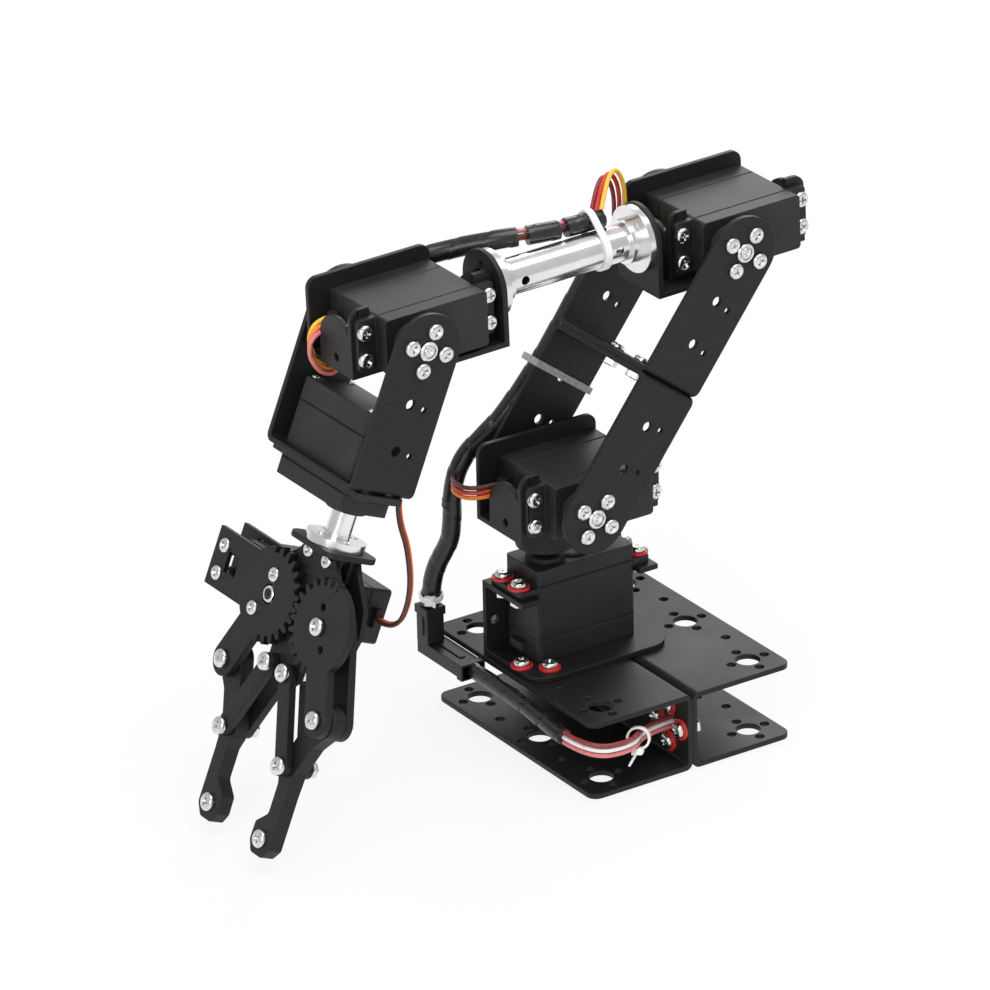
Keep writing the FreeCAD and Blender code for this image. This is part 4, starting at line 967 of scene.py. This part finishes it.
def even_steps(line, step):
    """The line again with its points an even step apart, and its length."""
    total = sum((b - a).length for a, b in zip(line, line[1:]))
    count = max(2, int(total / step))
    marks = [total * k / count for k in range(count + 1)]
    out, walked, index = [], 0.0, 0
    for mark in marks:
        while index < len(line) - 2 and walked + (line[index + 1] - line[index]).length < mark:
            walked += (line[index + 1] - line[index]).length
            index += 1
        run = line[index + 1] - line[index]
        share = 0 if run.length == 0 else min(1, (mark - walked) / run.length)
        out.append(line[index] + run * share)
    return out, total


def metres(points):
    return [Vector(point) * MM for point in points]


def from_frame(origin, across, upward, points):
    """Points of a part's own frame as points of the world, both in millimetres."""
    return [origin + across * x + ACROSS * y + upward * z for x, y, z in points]


print("line tools ready")

# %% [markdown]
# ## Tubes along a line
# A curve with a round bevel makes a plain tube in one step, but a spiral sleeve isn't plain: its
# radius changes along it and round it.  So rings of points are set along the line, with their side
# carried from one to the next so that the tube never twists, and each point asks for its radius.

# %% Tubes
TUBE_SIDES = 20


def carried_sides(line):
    """The direction and a side for each point of a line, carried along so that it never twists."""
    side = (line[1] - line[0]).normalized().orthogonal().normalized()
    sides = []
    for index in range(len(line)):
        ahead = line[min(index + 1, len(line) - 1)]
        behind = line[max(index - 1, 0)]
        way = (ahead - behind).normalized()
        side = (side - side.dot(way) * way).normalized()
        sides.append((way, side))
    return sides


def sweep(work, line, radius_at, sides=TUBE_SIDES):
    """A round tube along a line, whose radius may depend on the walk and the turn; ends closed."""
    rings, walked, before = [], 0.0, line[0]
    for spot, (way, side) in zip(line, carried_sides(line)):
        walked += (spot - before).length
        before = spot
        other = way.cross(side)
        ring = []
        for step in range(sides):
            turn = 2 * math.pi * step / sides
            out = side * math.cos(turn) + other * math.sin(turn)
            ring.append(work.verts.new(spot + out * radius_at(walked, turn)))
        rings.append(ring)
    for first, second in zip(rings, rings[1:]):
        for step in range(sides):
            after = (step + 1) % sides
            work.faces.new((first[step], first[after], second[after], second[step]))
    work.faces.new(rings[0][::-1])
    work.faces.new(rings[-1])


def tube_piece(name, work, carrier, finish, nodes):
    """A finished tube.  Its carrier is a body's name, which it rides on, or a blend across the joint of two
    bodies, which is not used.
    """
    if isinstance(carrier, str):
        finish_piece(name, work, carrier, finish, nodes, TUBE_CREASE)
    else:
        blended_piece(name, work, finish, nodes)


print("tube tools ready with", TUBE_SIDES, "sides")

# %% [markdown]
# ## Spiral sleeve
# The harness is wrapped in black spiral sleeve: a flat plastic strip wound in a helix, so that a
# shallow seam runs round it and one edge of the strip stands a little proud.  A bump map could draw
# the seam but not the step in the sleeve's outline, so both are in the radius: it grows by a few
# percent over a turn, falls back at the seam, and dips where the strips meet.

# %% Sleeve shape
SLEEVE_RADIUS = 3.5 * MM
SLEEVE_STEP = 0.6 * MM
SEAM_PITCH = 11.0 * MM
SEAM_DEPTH = 0.09
SEAM_WIDE = 0.05
STRIP_STEP = 0.06


def spiral_radius(radius):
    """The radius of a spiral sleeve, for a walk along it and a turn round it."""
    def at(walked, turn):
        phase = (turn / (2 * math.pi) + walked / SEAM_PITCH) % 1.0
        seam = max(0.0, 1 - min(phase, 1 - phase) / SEAM_WIDE)
        return radius * (1 - STRIP_STEP + STRIP_STEP * phase - SEAM_DEPTH * seam)
    return at


def sleeve(name, points, carrier, nodes, radius=SLEEVE_RADIUS, gaps=()):
    """A sleeve along a route, left open over any stretches given as shares of its length."""
    line, total = even_steps(smooth_line(metres(points)), SLEEVE_STEP)
    work = bmesh.new()
    edges = [0.0] + [share for gap in gaps for share in gap] + [1.0]
    last = len(line) - 1
    for start, end in zip(edges[::2], edges[1::2]):
        sweep(work, line[int(start * last):int(end * last) + 1], spiral_radius(radius))
    tube_piece(name, work, carrier, SLEEVE_SKIN, nodes)
    print(name, round(total / MM, 1), "mm")


print("seam pitch", round(SEAM_PITCH / MM, 1), "mm")

# %% [markdown]
# ## The harness up to the shoulder
# One harness feeds the whole arm.  It rises from its plug past the turntable and goes over the
# shoulder servo to the upper arm, so it crosses two joints.  Rigid pieces would tear apart there.
# Each piece is given the two bodies of its joint and where a blend between them would start and end,
# but these are not used, and the piece stays where it is built, on no body.

# %% Rising and shoulder sleeves
BASE_SLEEVE = ((43.4, -34, 84), (43.2, -34, 74), (43.9, -36, 65.5), (47.6, -41, 54.5), (49, -41, 42))
SHOULDER_CROSSING = ((43.6, -34, 81), (43, -34, 88), (39, -34, 98), (30, -34, 104), (20, -34, 110.5),
                     (8.8, -33.5, 123.5))


def at_mm(*values):
    """A place in millimetres as plain metres."""
    return tuple(value * MM for value in values)


OVER_BASE = ("base", "turret", at_mm(48, -40, 50), at_mm(44, -34, 79))
OVER_SHOULDER = ("turret", "upper_arm", at_mm(41, -34, 97), at_mm(10, -34, 122))
sleeve("rising_sleeve", BASE_SLEEVE, OVER_BASE, ["base_sleeve"])
sleeve("shoulder_sleeve", SHOULDER_CROSSING, OVER_SHOULDER, ["turret_sleeve"])

# %% [markdown]
# ## The harness along the arms
# On the two arms the sleeve lies against the part, so it simply rides on it, and its route is given
# in the arm's own frame.  On the forearm the spiral is wound in three stretches, and the wires show
# between them, so that sleeve has two gaps with three wires inside.

# %% Arm sleeves
SHOULDER = Vector((22, -3, 92))
ELBOW = Vector((-40.589, -3, 175.058))
ARM_SLEEVE = ((8.5, -30.5, 27), (8, -30.5, 41), (8, -30.5, 60), (7.5, -31.5, 79))
FOREARM_SLEEVE = ((38, -3.5, 13.16), (56, -3.5, 13.16), (77, -9, 14), (93, -23.9, 8.5), (111, -26.2, 7))
FOREARM_GAPS = ((0.185, 0.225), (0.37, 0.415))
arm_route = from_frame(SHOULDER, ARM_LEVEL, ARM_UP, ARM_SLEEVE)
forearm_route = from_frame(ELBOW, FOREARM_OUT, FOREARM_UP, FOREARM_SLEEVE)
sleeve("upper_arm_sleeve", arm_route, "upper_arm", ["arm_sleeve"])
sleeve("forearm_cable_sleeve", forearm_route, "forearm", ["forearm_sleeve"], gaps=FOREARM_GAPS)

# %% [markdown]
# The wires that come out of the long plug lie along the front of the base in a thinner sleeve.  It
# could be part of the rising sleeve, but it crosses no joint and has its own width, so it is a piece
# of its own that rides on the base.

# %% Front sleeve
FRONT_SLEEVE = ((46.5, -17, 25), (46.5, -1, 25), (46, 18, 23.5), (46.3, 38, 21.5))
FRONT_RADIUS = 3 * MM
sleeve("front_cable_sleeve", FRONT_SLEEVE, "base", ["front_sleeve"], radius=FRONT_RADIUS)

# %% [markdown]
# ## Single wires
# A servo lead is three wires side by side.  One flat ribbon with painted stripes would be lighter,
# but it would be a ribbon from the side too.  Each wire is its own thin tube, and its neighbours are
# the same route moved aside by one step, while all three still leave the servo level with it.

# %% Wires
WIRE_RADIUS = 0.8 * MM
WIRE_STEP = 0.7 * MM
WIRE_SIDES = 12
PLACES = (-1, 0, 1)


def wire(name, points, colour, carrier, nodes=()):
    """One wire along a route, and its length."""
    line, total = even_steps(smooth_line(metres(points)), WIRE_STEP)
    work = bmesh.new()
    sweep(work, line, lambda walked, turn: WIRE_RADIUS, WIRE_SIDES)
    tube_piece(name, work, carrier, WIRE[colour], nodes)
    return total


def wire_points(points, step, place):
    """The route moved aside by some steps, still starting level with the others."""
    first_run = (points[1] - points[0]).normalized()
    shift = step * place
    level = shift - first_run * shift.dot(first_run)
    return [points[0] + level] + [point + shift for point in points[1:]]


INNER_LIFT, INNER_SIDE = 1.4, -1.4
for place, colour in zip(PLACES, ("red", "brown", "pink")):
    inside = [point + FOREARM_UP * INNER_LIFT * place + ACROSS * INNER_SIDE * abs(place)
              for point in forearm_route]
    wire(f"forearm_inner_{colour}", inside, colour, "forearm")
print("wires inside the forearm sleeve made")

# %% [markdown]
# ## Servo leads
# Each lead has its own colours, its own route and its own step from wire to wire.  Those are all
# that differs, so the leads are a table.  Two of them are given in the frame of the forearm, where
# their servos sit, and the others in the frame of the world.

# %% Leads
CLAW_ORIGIN = Vector((88.367, 7.2, 171.681))
PART_FRAMES = {
    "world": (Vector(), REACH, UP),
    "elbow": (ELBOW, FOREARM_OUT, FOREARM_UP),
    "claw": (CLAW_ORIGIN, CLAW_FRONT, HAND_UP),
}
LEADS = {
    "shoulder_lead": ("turret", "world", (0, 0, 1.9), ("orange", "red", "brown"),
                      ((35.15, -16.5, 92), (46, -16.5, 92), (48, -27, 92), (43.5, -32.5, 91))),
    "elbow_lead": ("forearm", "elbow", (1.35, -1.35, -1.35), ("yellow", "red", "maroon"),
                   ((13.15, -13.5, 0), (24.5, -13.5, 0), (23.5, -13, 19), (33, -8.5, 29), (40, -3.5, 15.5))),
    "wrist_lead": ("forearm", "elbow", (1.1, 1.7, -1.1), ("yellow", "orange", "pink"),
                   ((142.15, -13.5, 0), (148, -13.5, 0), (151.2, -14, -6.5), (146.8, -15, -15.6),
                    (139, -16, -19.5), (133.5, -16, -12.8))),
    "base_wires": ("base", "world", (0, 0, 1.9), ("pink", "white", "maroon"),
                   ((46.3, 38, 21.5), (46, 54, 21.5), (30, 56, 20.5), (14, 40, 16), (1, 38, 14.5))),
}


def world_route(part_frame, points, step):
    """A route, and its step from wire to wire, moved from a part's own frame into the world."""
    origin, across, upward = PART_FRAMES[part_frame]
    return from_frame(origin, across, upward, points), from_frame(Vector(), across, upward, [step])[0]


for lead, (body, part_frame, step, colours, points) in LEADS.items():
    route, turned = world_route(part_frame, points, step)
    for place, colour in zip(PLACES, colours):
        total = wire(f"{lead}_{colour}", wire_points(route, turned, place), colour, body, [lead])
    print(lead, "about", round(total / MM, 1), "mm")

# %% [markdown]
# ## The lead across the roll joint
# The claw servo's lead hangs from the hand to the claw, past the joint that rolls the claw.  It is
# one lead, so each of its wires is a single tube across the hand and the claw, put on neither, and
# it stands for the two rigid halves in the CAD model.

# %% Roll lead
ROLL_LEAD = ((-9, 0.3, -35.6), (-17, 0.3, -38.5), (-18.5, 0.5, -52), (-22, 1.5, -63), (-28, 4, -72),
             (-32, 8.2, -87), (-30.3, 8.5, -100), (-30.3, -2.85, -100))
ROLL_STEP = (1.3, 1.3, 0)
ROLL_BLEND = ((-22, 2, -60), (-30, 7, -90))
roll_start, roll_end = (at_mm(*spot) for spot in from_frame(CLAW_ORIGIN, CLAW_FRONT, HAND_UP, ROLL_BLEND))
OVER_ROLL = ("hand", "claw", roll_start, roll_end)
roll_route, roll_step = world_route("claw", ROLL_LEAD, ROLL_STEP)
for place, colour in zip(PLACES, ("orange", "red", "brown")):
    spots = [point + roll_step * place for point in roll_route]
    total = wire(f"roll_lead_{colour}", spots, colour, OVER_ROLL, ["hand_lead", "claw_lead"])
print("roll lead about", round(total / MM, 1), "mm")

# %% [markdown]
# ## Screws in the claw
# Some holes of the CAD plates hold screws in the real arm: the two horn screws of the driven gear,
# the screws that hold the claw's plates to their mount, and the ear screws of the claw servo.  Their
# shanks are out of sight, so only heads are set.  They are placed in the claw's frame and ride on
# the part that they hold, so the horn screws turn with their gear.

# %% Claw screws
SMALL_HEAD, SMALL_TALL = 2.6 * MM, 1.5 * MM
GEAR_FACE, PLATE_FACE = 8.0, 4.7
GEAR_HORN_HOLES = ((-15.5, -92.9), (-21.6, -107.2))
MOUNT_HOLES = ((-5.6, -79.9), (5.6, -79.9))
EAR_HOLES = ((-50.95, -95), (-50.95, -105))


def claw_spot(front, across, up):
    return from_frame(CLAW_ORIGIN, CLAW_FRONT, HAND_UP, [(front, across, up)])[0] * MM


def small_screws(name, body, spots, axis, wide=SMALL_HEAD, tall=SMALL_TALL, finish=PLATED):
    """Heads alone, standing on a face: their shanks are inside the part."""
    work = bmesh.new()
    for spot in spots:
        seat = stand(axis, spot, random.uniform(0, math.pi))
        add_part(work, HEAD, seat @ Matrix.Diagonal((wide, wide, tall, 1)))
    finish_piece(name, work, body, finish)


for name, body, face, holes in (
    ("gear_horn_screws", "gear_left", GEAR_FACE, GEAR_HORN_HOLES),
    ("claw_plate_screws", "claw", PLATE_FACE, MOUNT_HOLES),
    ("claw_ear_screws", "claw", PLATE_FACE, EAR_HOLES),
):
    small_screws(name, body, [claw_spot(face, *hole) for hole in holes], CLAW_FRONT)
    print(name, len(holes))

# %% [markdown]
# ## Gear hub
# In the middle of the driven gear the horn shows as a bright ring round a dark, sunken screw.  A disc
# with a painted ring would stay flat as the light moves.  The ring is a turned form with a real
# recess, so its shadow is real too.  The screw in the well takes the black servo finish, which makes
# it a dark screw and also paints the shade at the foot of the well.

# %% Gear hub
HUB_WIDE, HUB_BORE, HUB_TALL = 2.9 * MM, 2.05 * MM, 1.0 * MM
HUB_RIM, HUB_SHOULDER, HUB_WELL, HUB_FLOOR = 0.93, 0.8, 0.96, 0.2
HUB_SCREW, HUB_SCREW_TALL, HUB_SCREW_LIFT = 0.9, 0.6 * MM, 0.25
GEAR_CENTRE = (-16.0, -100.0)
HUB_FOOT = 7.2


def gear_hub():
    rows = [(0, 0), (HUB_WIDE, 0), (HUB_WIDE, HUB_TALL * HUB_SHOULDER), (HUB_WIDE * HUB_RIM, HUB_TALL)]
    rows += [(HUB_BORE, HUB_TALL), (HUB_BORE * HUB_WELL, HUB_TALL * HUB_FLOOR), (0, HUB_TALL * HUB_FLOOR)]
    work = bmesh.new()
    add_part(work, lathe(rows), stand(CLAW_FRONT, claw_spot(HUB_FOOT, *GEAR_CENTRE), 0))
    finish_piece("gear_hub_ring", work, "gear_left", TURNED)
    # The screw in the well is black: partly a dark screw, partly painted shade at the foot of the well.
    seat = claw_spot(HUB_FOOT + HUB_SCREW_LIFT, *GEAR_CENTRE)
    small_screws("gear_hub_screw_and_shade", "gear_left", [seat], CLAW_FRONT,
                 wide=HUB_BORE * HUB_SCREW, tall=HUB_SCREW_TALL, finish=NYLON)


gear_hub()
print("gear hub", round(2 * HUB_WIDE / MM, 1), "mm wide")

# %% [markdown]
# ## Screws in the servo feet
# A servo's case is held together by four long screws whose small heads sit in the corners of its
# foot.  Five feet are open to view from some side, and they are the same size.  So one function sets
# four heads from the middle of a foot and the two directions along it.

# %% Foot screws
FOOT_HEAD, FOOT_TALL = 1.35 * MM, 0.8 * MM
FOOT_HALF_LONG, FOOT_HALF_WIDE = 17.6, 7.6
SERVO_MIDDLE, SERVO_FOOT = -10.2, -18
WRIST = Vector((88.367, -3, 171.681))


def foot_screws(name, body, middle, long_way, wide_way, out):
    spots = [(middle + long_way * FOOT_HALF_LONG * a + wide_way * FOOT_HALF_WIDE * b) * MM
             for a in (-1, 1) for b in (-1, 1)]
    small_screws(name, body, spots, out, FOOT_HEAD, FOOT_TALL)


ROLL_FOOT, CLAW_FOOT = from_frame(CLAW_ORIGIN, CLAW_FRONT, HAND_UP, [(0, -10.2, -26), (-34.8, -26.2, -100)])
foot_screws("roll_servo_foot_screws", "hand", ROLL_FOOT, ACROSS, CLAW_FRONT, HAND_UP)
foot_screws("claw_servo_foot_screws", "claw", CLAW_FOOT, ACROSS, HAND_UP, -CLAW_FRONT)
for name, body, centre, along, upward in (
    ("shoulder_foot_screws", "turret", SHOULDER, REACH, UP),
    ("elbow_foot_screws", "forearm", ELBOW, FOREARM_OUT, FOREARM_UP),
    ("wrist_foot_screws", "forearm", WRIST, FOREARM_OUT, FOREARM_UP),
):
    foot = centre + along * SERVO_MIDDLE + ACROSS * SERVO_FOOT
    foot_screws(name, body, foot, along, upward, -ACROSS)
print("foot screws set on 5 servos")

# %% [markdown]
# ## Small moulded parts
# Ties and plugs are moulded, and moulded edges are always a little round.  Blocks are quick to place
# by three directions and half sizes, and one bevel modifier then rounds all edges of a piece.

# %% Blocks
MOULDED_EDGE = 0.25 * MM
MOULDED_STEPS = 3


def block(work, centre, ways, halves):
    """A small block given by three directions and half sizes."""
    for corner in bmesh.ops.create_cube(work, size=2.0)["verts"]:
        reaches = (way * half * value for way, half, value in zip(ways, halves, corner.co))
        corner.co = centre + sum(reaches, Vector())


def soften(piece):
    bevel = piece.modifiers.new("soft_edges", "BEVEL")
    bevel.width = MOULDED_EDGE
    bevel.segments = MOULDED_STEPS
    bevel.limit_method = "ANGLE"


print("moulded edge", round(MOULDED_EDGE / MM, 2), "mm")

# %% [markdown]
# ## Zip ties
# A nylon tie holds the wires in front of the channel.  It is a strap round the bundle, a square head
# and a cut tail that sticks out, which is where the photograph shows its white glint.  A torus would
# be quicker than a strap, but a tie is flat, and its flat face is what reflects.

# %% Zip tie
TIE_WIDE, TIE_THICK = 1.1 * MM, 0.8 * MM
TIE_STEPS = 32
TIE_HEAD_LIFT = 1.6
TIE_HEAD_HALVES = (TIE_WIDE * 1.6, TIE_WIDE * 1.8, TIE_THICK * 1.4)
TAIL_LEAN = 0.5


def ribbon_ring(work, centre, axis, radius):
    """A flat strap bent into a ring round an axis."""
    frame_turn = axis.to_track_quat("Z", "X").to_matrix()
    outer = radius + TIE_THICK
    rings = []
    for step in range(TIE_STEPS):
        turn = 2 * math.pi * step / TIE_STEPS
        corners = []
        for reach, level in ((radius, -TIE_WIDE), (outer, -TIE_WIDE), (outer, TIE_WIDE), (radius, TIE_WIDE)):
            local = Vector((reach * math.cos(turn), reach * math.sin(turn), level))
            corners.append(work.verts.new(centre + frame_turn @ local))
        rings.append(corners)
    for index, first in enumerate(rings):
        second = rings[(index + 1) % TIE_STEPS]
        for k in range(4):
            work.faces.new((first[k], first[(k + 1) % 4], second[(k + 1) % 4], second[k]))


def zip_tie(name, body, centre, axis, radius, head_way, tail):
    """A strap with its head towards head_way and a tail of the given length."""
    work = bmesh.new()
    ribbon_ring(work, centre, axis, radius)
    side = axis.cross(head_way).normalized()
    head_spot = centre + head_way * (radius + TIE_THICK * TIE_HEAD_LIFT)
    block(work, head_spot, (axis, side, head_way), TIE_HEAD_HALVES)
    tail_way = (side * TAIL_LEAN + head_way).normalized()
    tail_flat = side - head_way * TAIL_LEAN
    tail_halves = (TIE_WIDE, tail / 2, TIE_THICK / 2)
    block(work, head_spot + tail_way * tail / 2, (axis, tail_way, tail_flat), tail_halves)
    soften(finish_piece(name, work, body, TIE))


def spot_on(points, share):
    """The place and the direction of a route at a share of its length."""
    line = even_steps(smooth_line(metres(points)), MM)[0]
    index = int(share * (len(line) - 1))
    return line[index], (line[index + 1] - line[index]).normalized()


BASE_TIE_SHARE, BASE_TIE_RADIUS, BASE_TIE_TAIL = 0.62, 3.4 * MM, 6 * MM
BASE_TIE_HEAD = unit(0.45, 0.55, -0.7)
tie_spot, tie_way = spot_on(LEADS["base_wires"][4], BASE_TIE_SHARE)
zip_tie("base_wire_tie", "base", tie_spot, tie_way, BASE_TIE_RADIUS, BASE_TIE_HEAD, BASE_TIE_TAIL)
print("zip tie at", tuple(round(value / MM, 1) for value in tie_spot))

# %% [markdown]
# ## Plugs at the foot of the harness
# The upright plug and the long one behind it are moulded housings.  In the CAD model they are plain
# blocks.  Moulded detail could be a bump, but collars and rails show in the outline, so each housing
# is built from three blocks: the body, a collar at its end and a latch rail across it.

# %% Plug housings
PLUG_BOXES = (((45, -45, 28), (53, -37, 42), UP), ((42, -46, 22), (52, -17, 28), ACROSS))
PLUG_SHY = 0.5
COLLAR_HALF = 1.6
RAIL_HALF, RAIL_SHARE = 1.1, 0.55


def plug_housing():
    """Two housings, each with a proud collar at its end and a latch rail across its middle."""
    ways = (REACH, ACROSS, UP)
    work = bmesh.new()
    for low, high, along in PLUG_BOXES:
        low, high = Vector(low), Vector(high)
        middle, half = (low + high) / 2, (high - low) / 2
        block(work, middle * MM, ways, (half - (Vector((1, 1, 1)) - along) * PLUG_SHY) * MM)
        collar = Vector(half)
        collar[ways.index(along)] = COLLAR_HALF
        block(work, (middle + along * (half.dot(along) - COLLAR_HALF)) * MM, ways, collar * MM)
        upright = Vector((half.x, RAIL_HALF, half.z * RAIL_SHARE))
        lying = Vector((RAIL_HALF, half.y * RAIL_SHARE, half.z))
        block(work, middle * MM, ways, (upright if along == UP else lying) * MM)
    soften(finish_piece("harness_plugs", work, "base", NYLON, ["base_plugs"]))


plug_housing()
print("plugs made", len(PLUG_BOXES))

# %% [markdown]
# A second tie closes the sleeve just above the upright plug, where the wires come together.  It is
# the same form as the first, so it only needs its own place, directions and size.

# %% Tie above the plug
PLUG_TIE_SPOT = Vector((48.6, -40.6, 45.5)) * MM
PLUG_TIE_WAY, PLUG_TIE_HEAD = unit(0.1, 0.15, 1), unit(0.6, 0.8, 0)
PLUG_TIE_RADIUS, PLUG_TIE_TAIL = 3.5 * MM, 4 * MM
zip_tie("plug_tie", "base", PLUG_TIE_SPOT, PLUG_TIE_WAY, PLUG_TIE_RADIUS, PLUG_TIE_HEAD, PLUG_TIE_TAIL)
print("plug tie made")
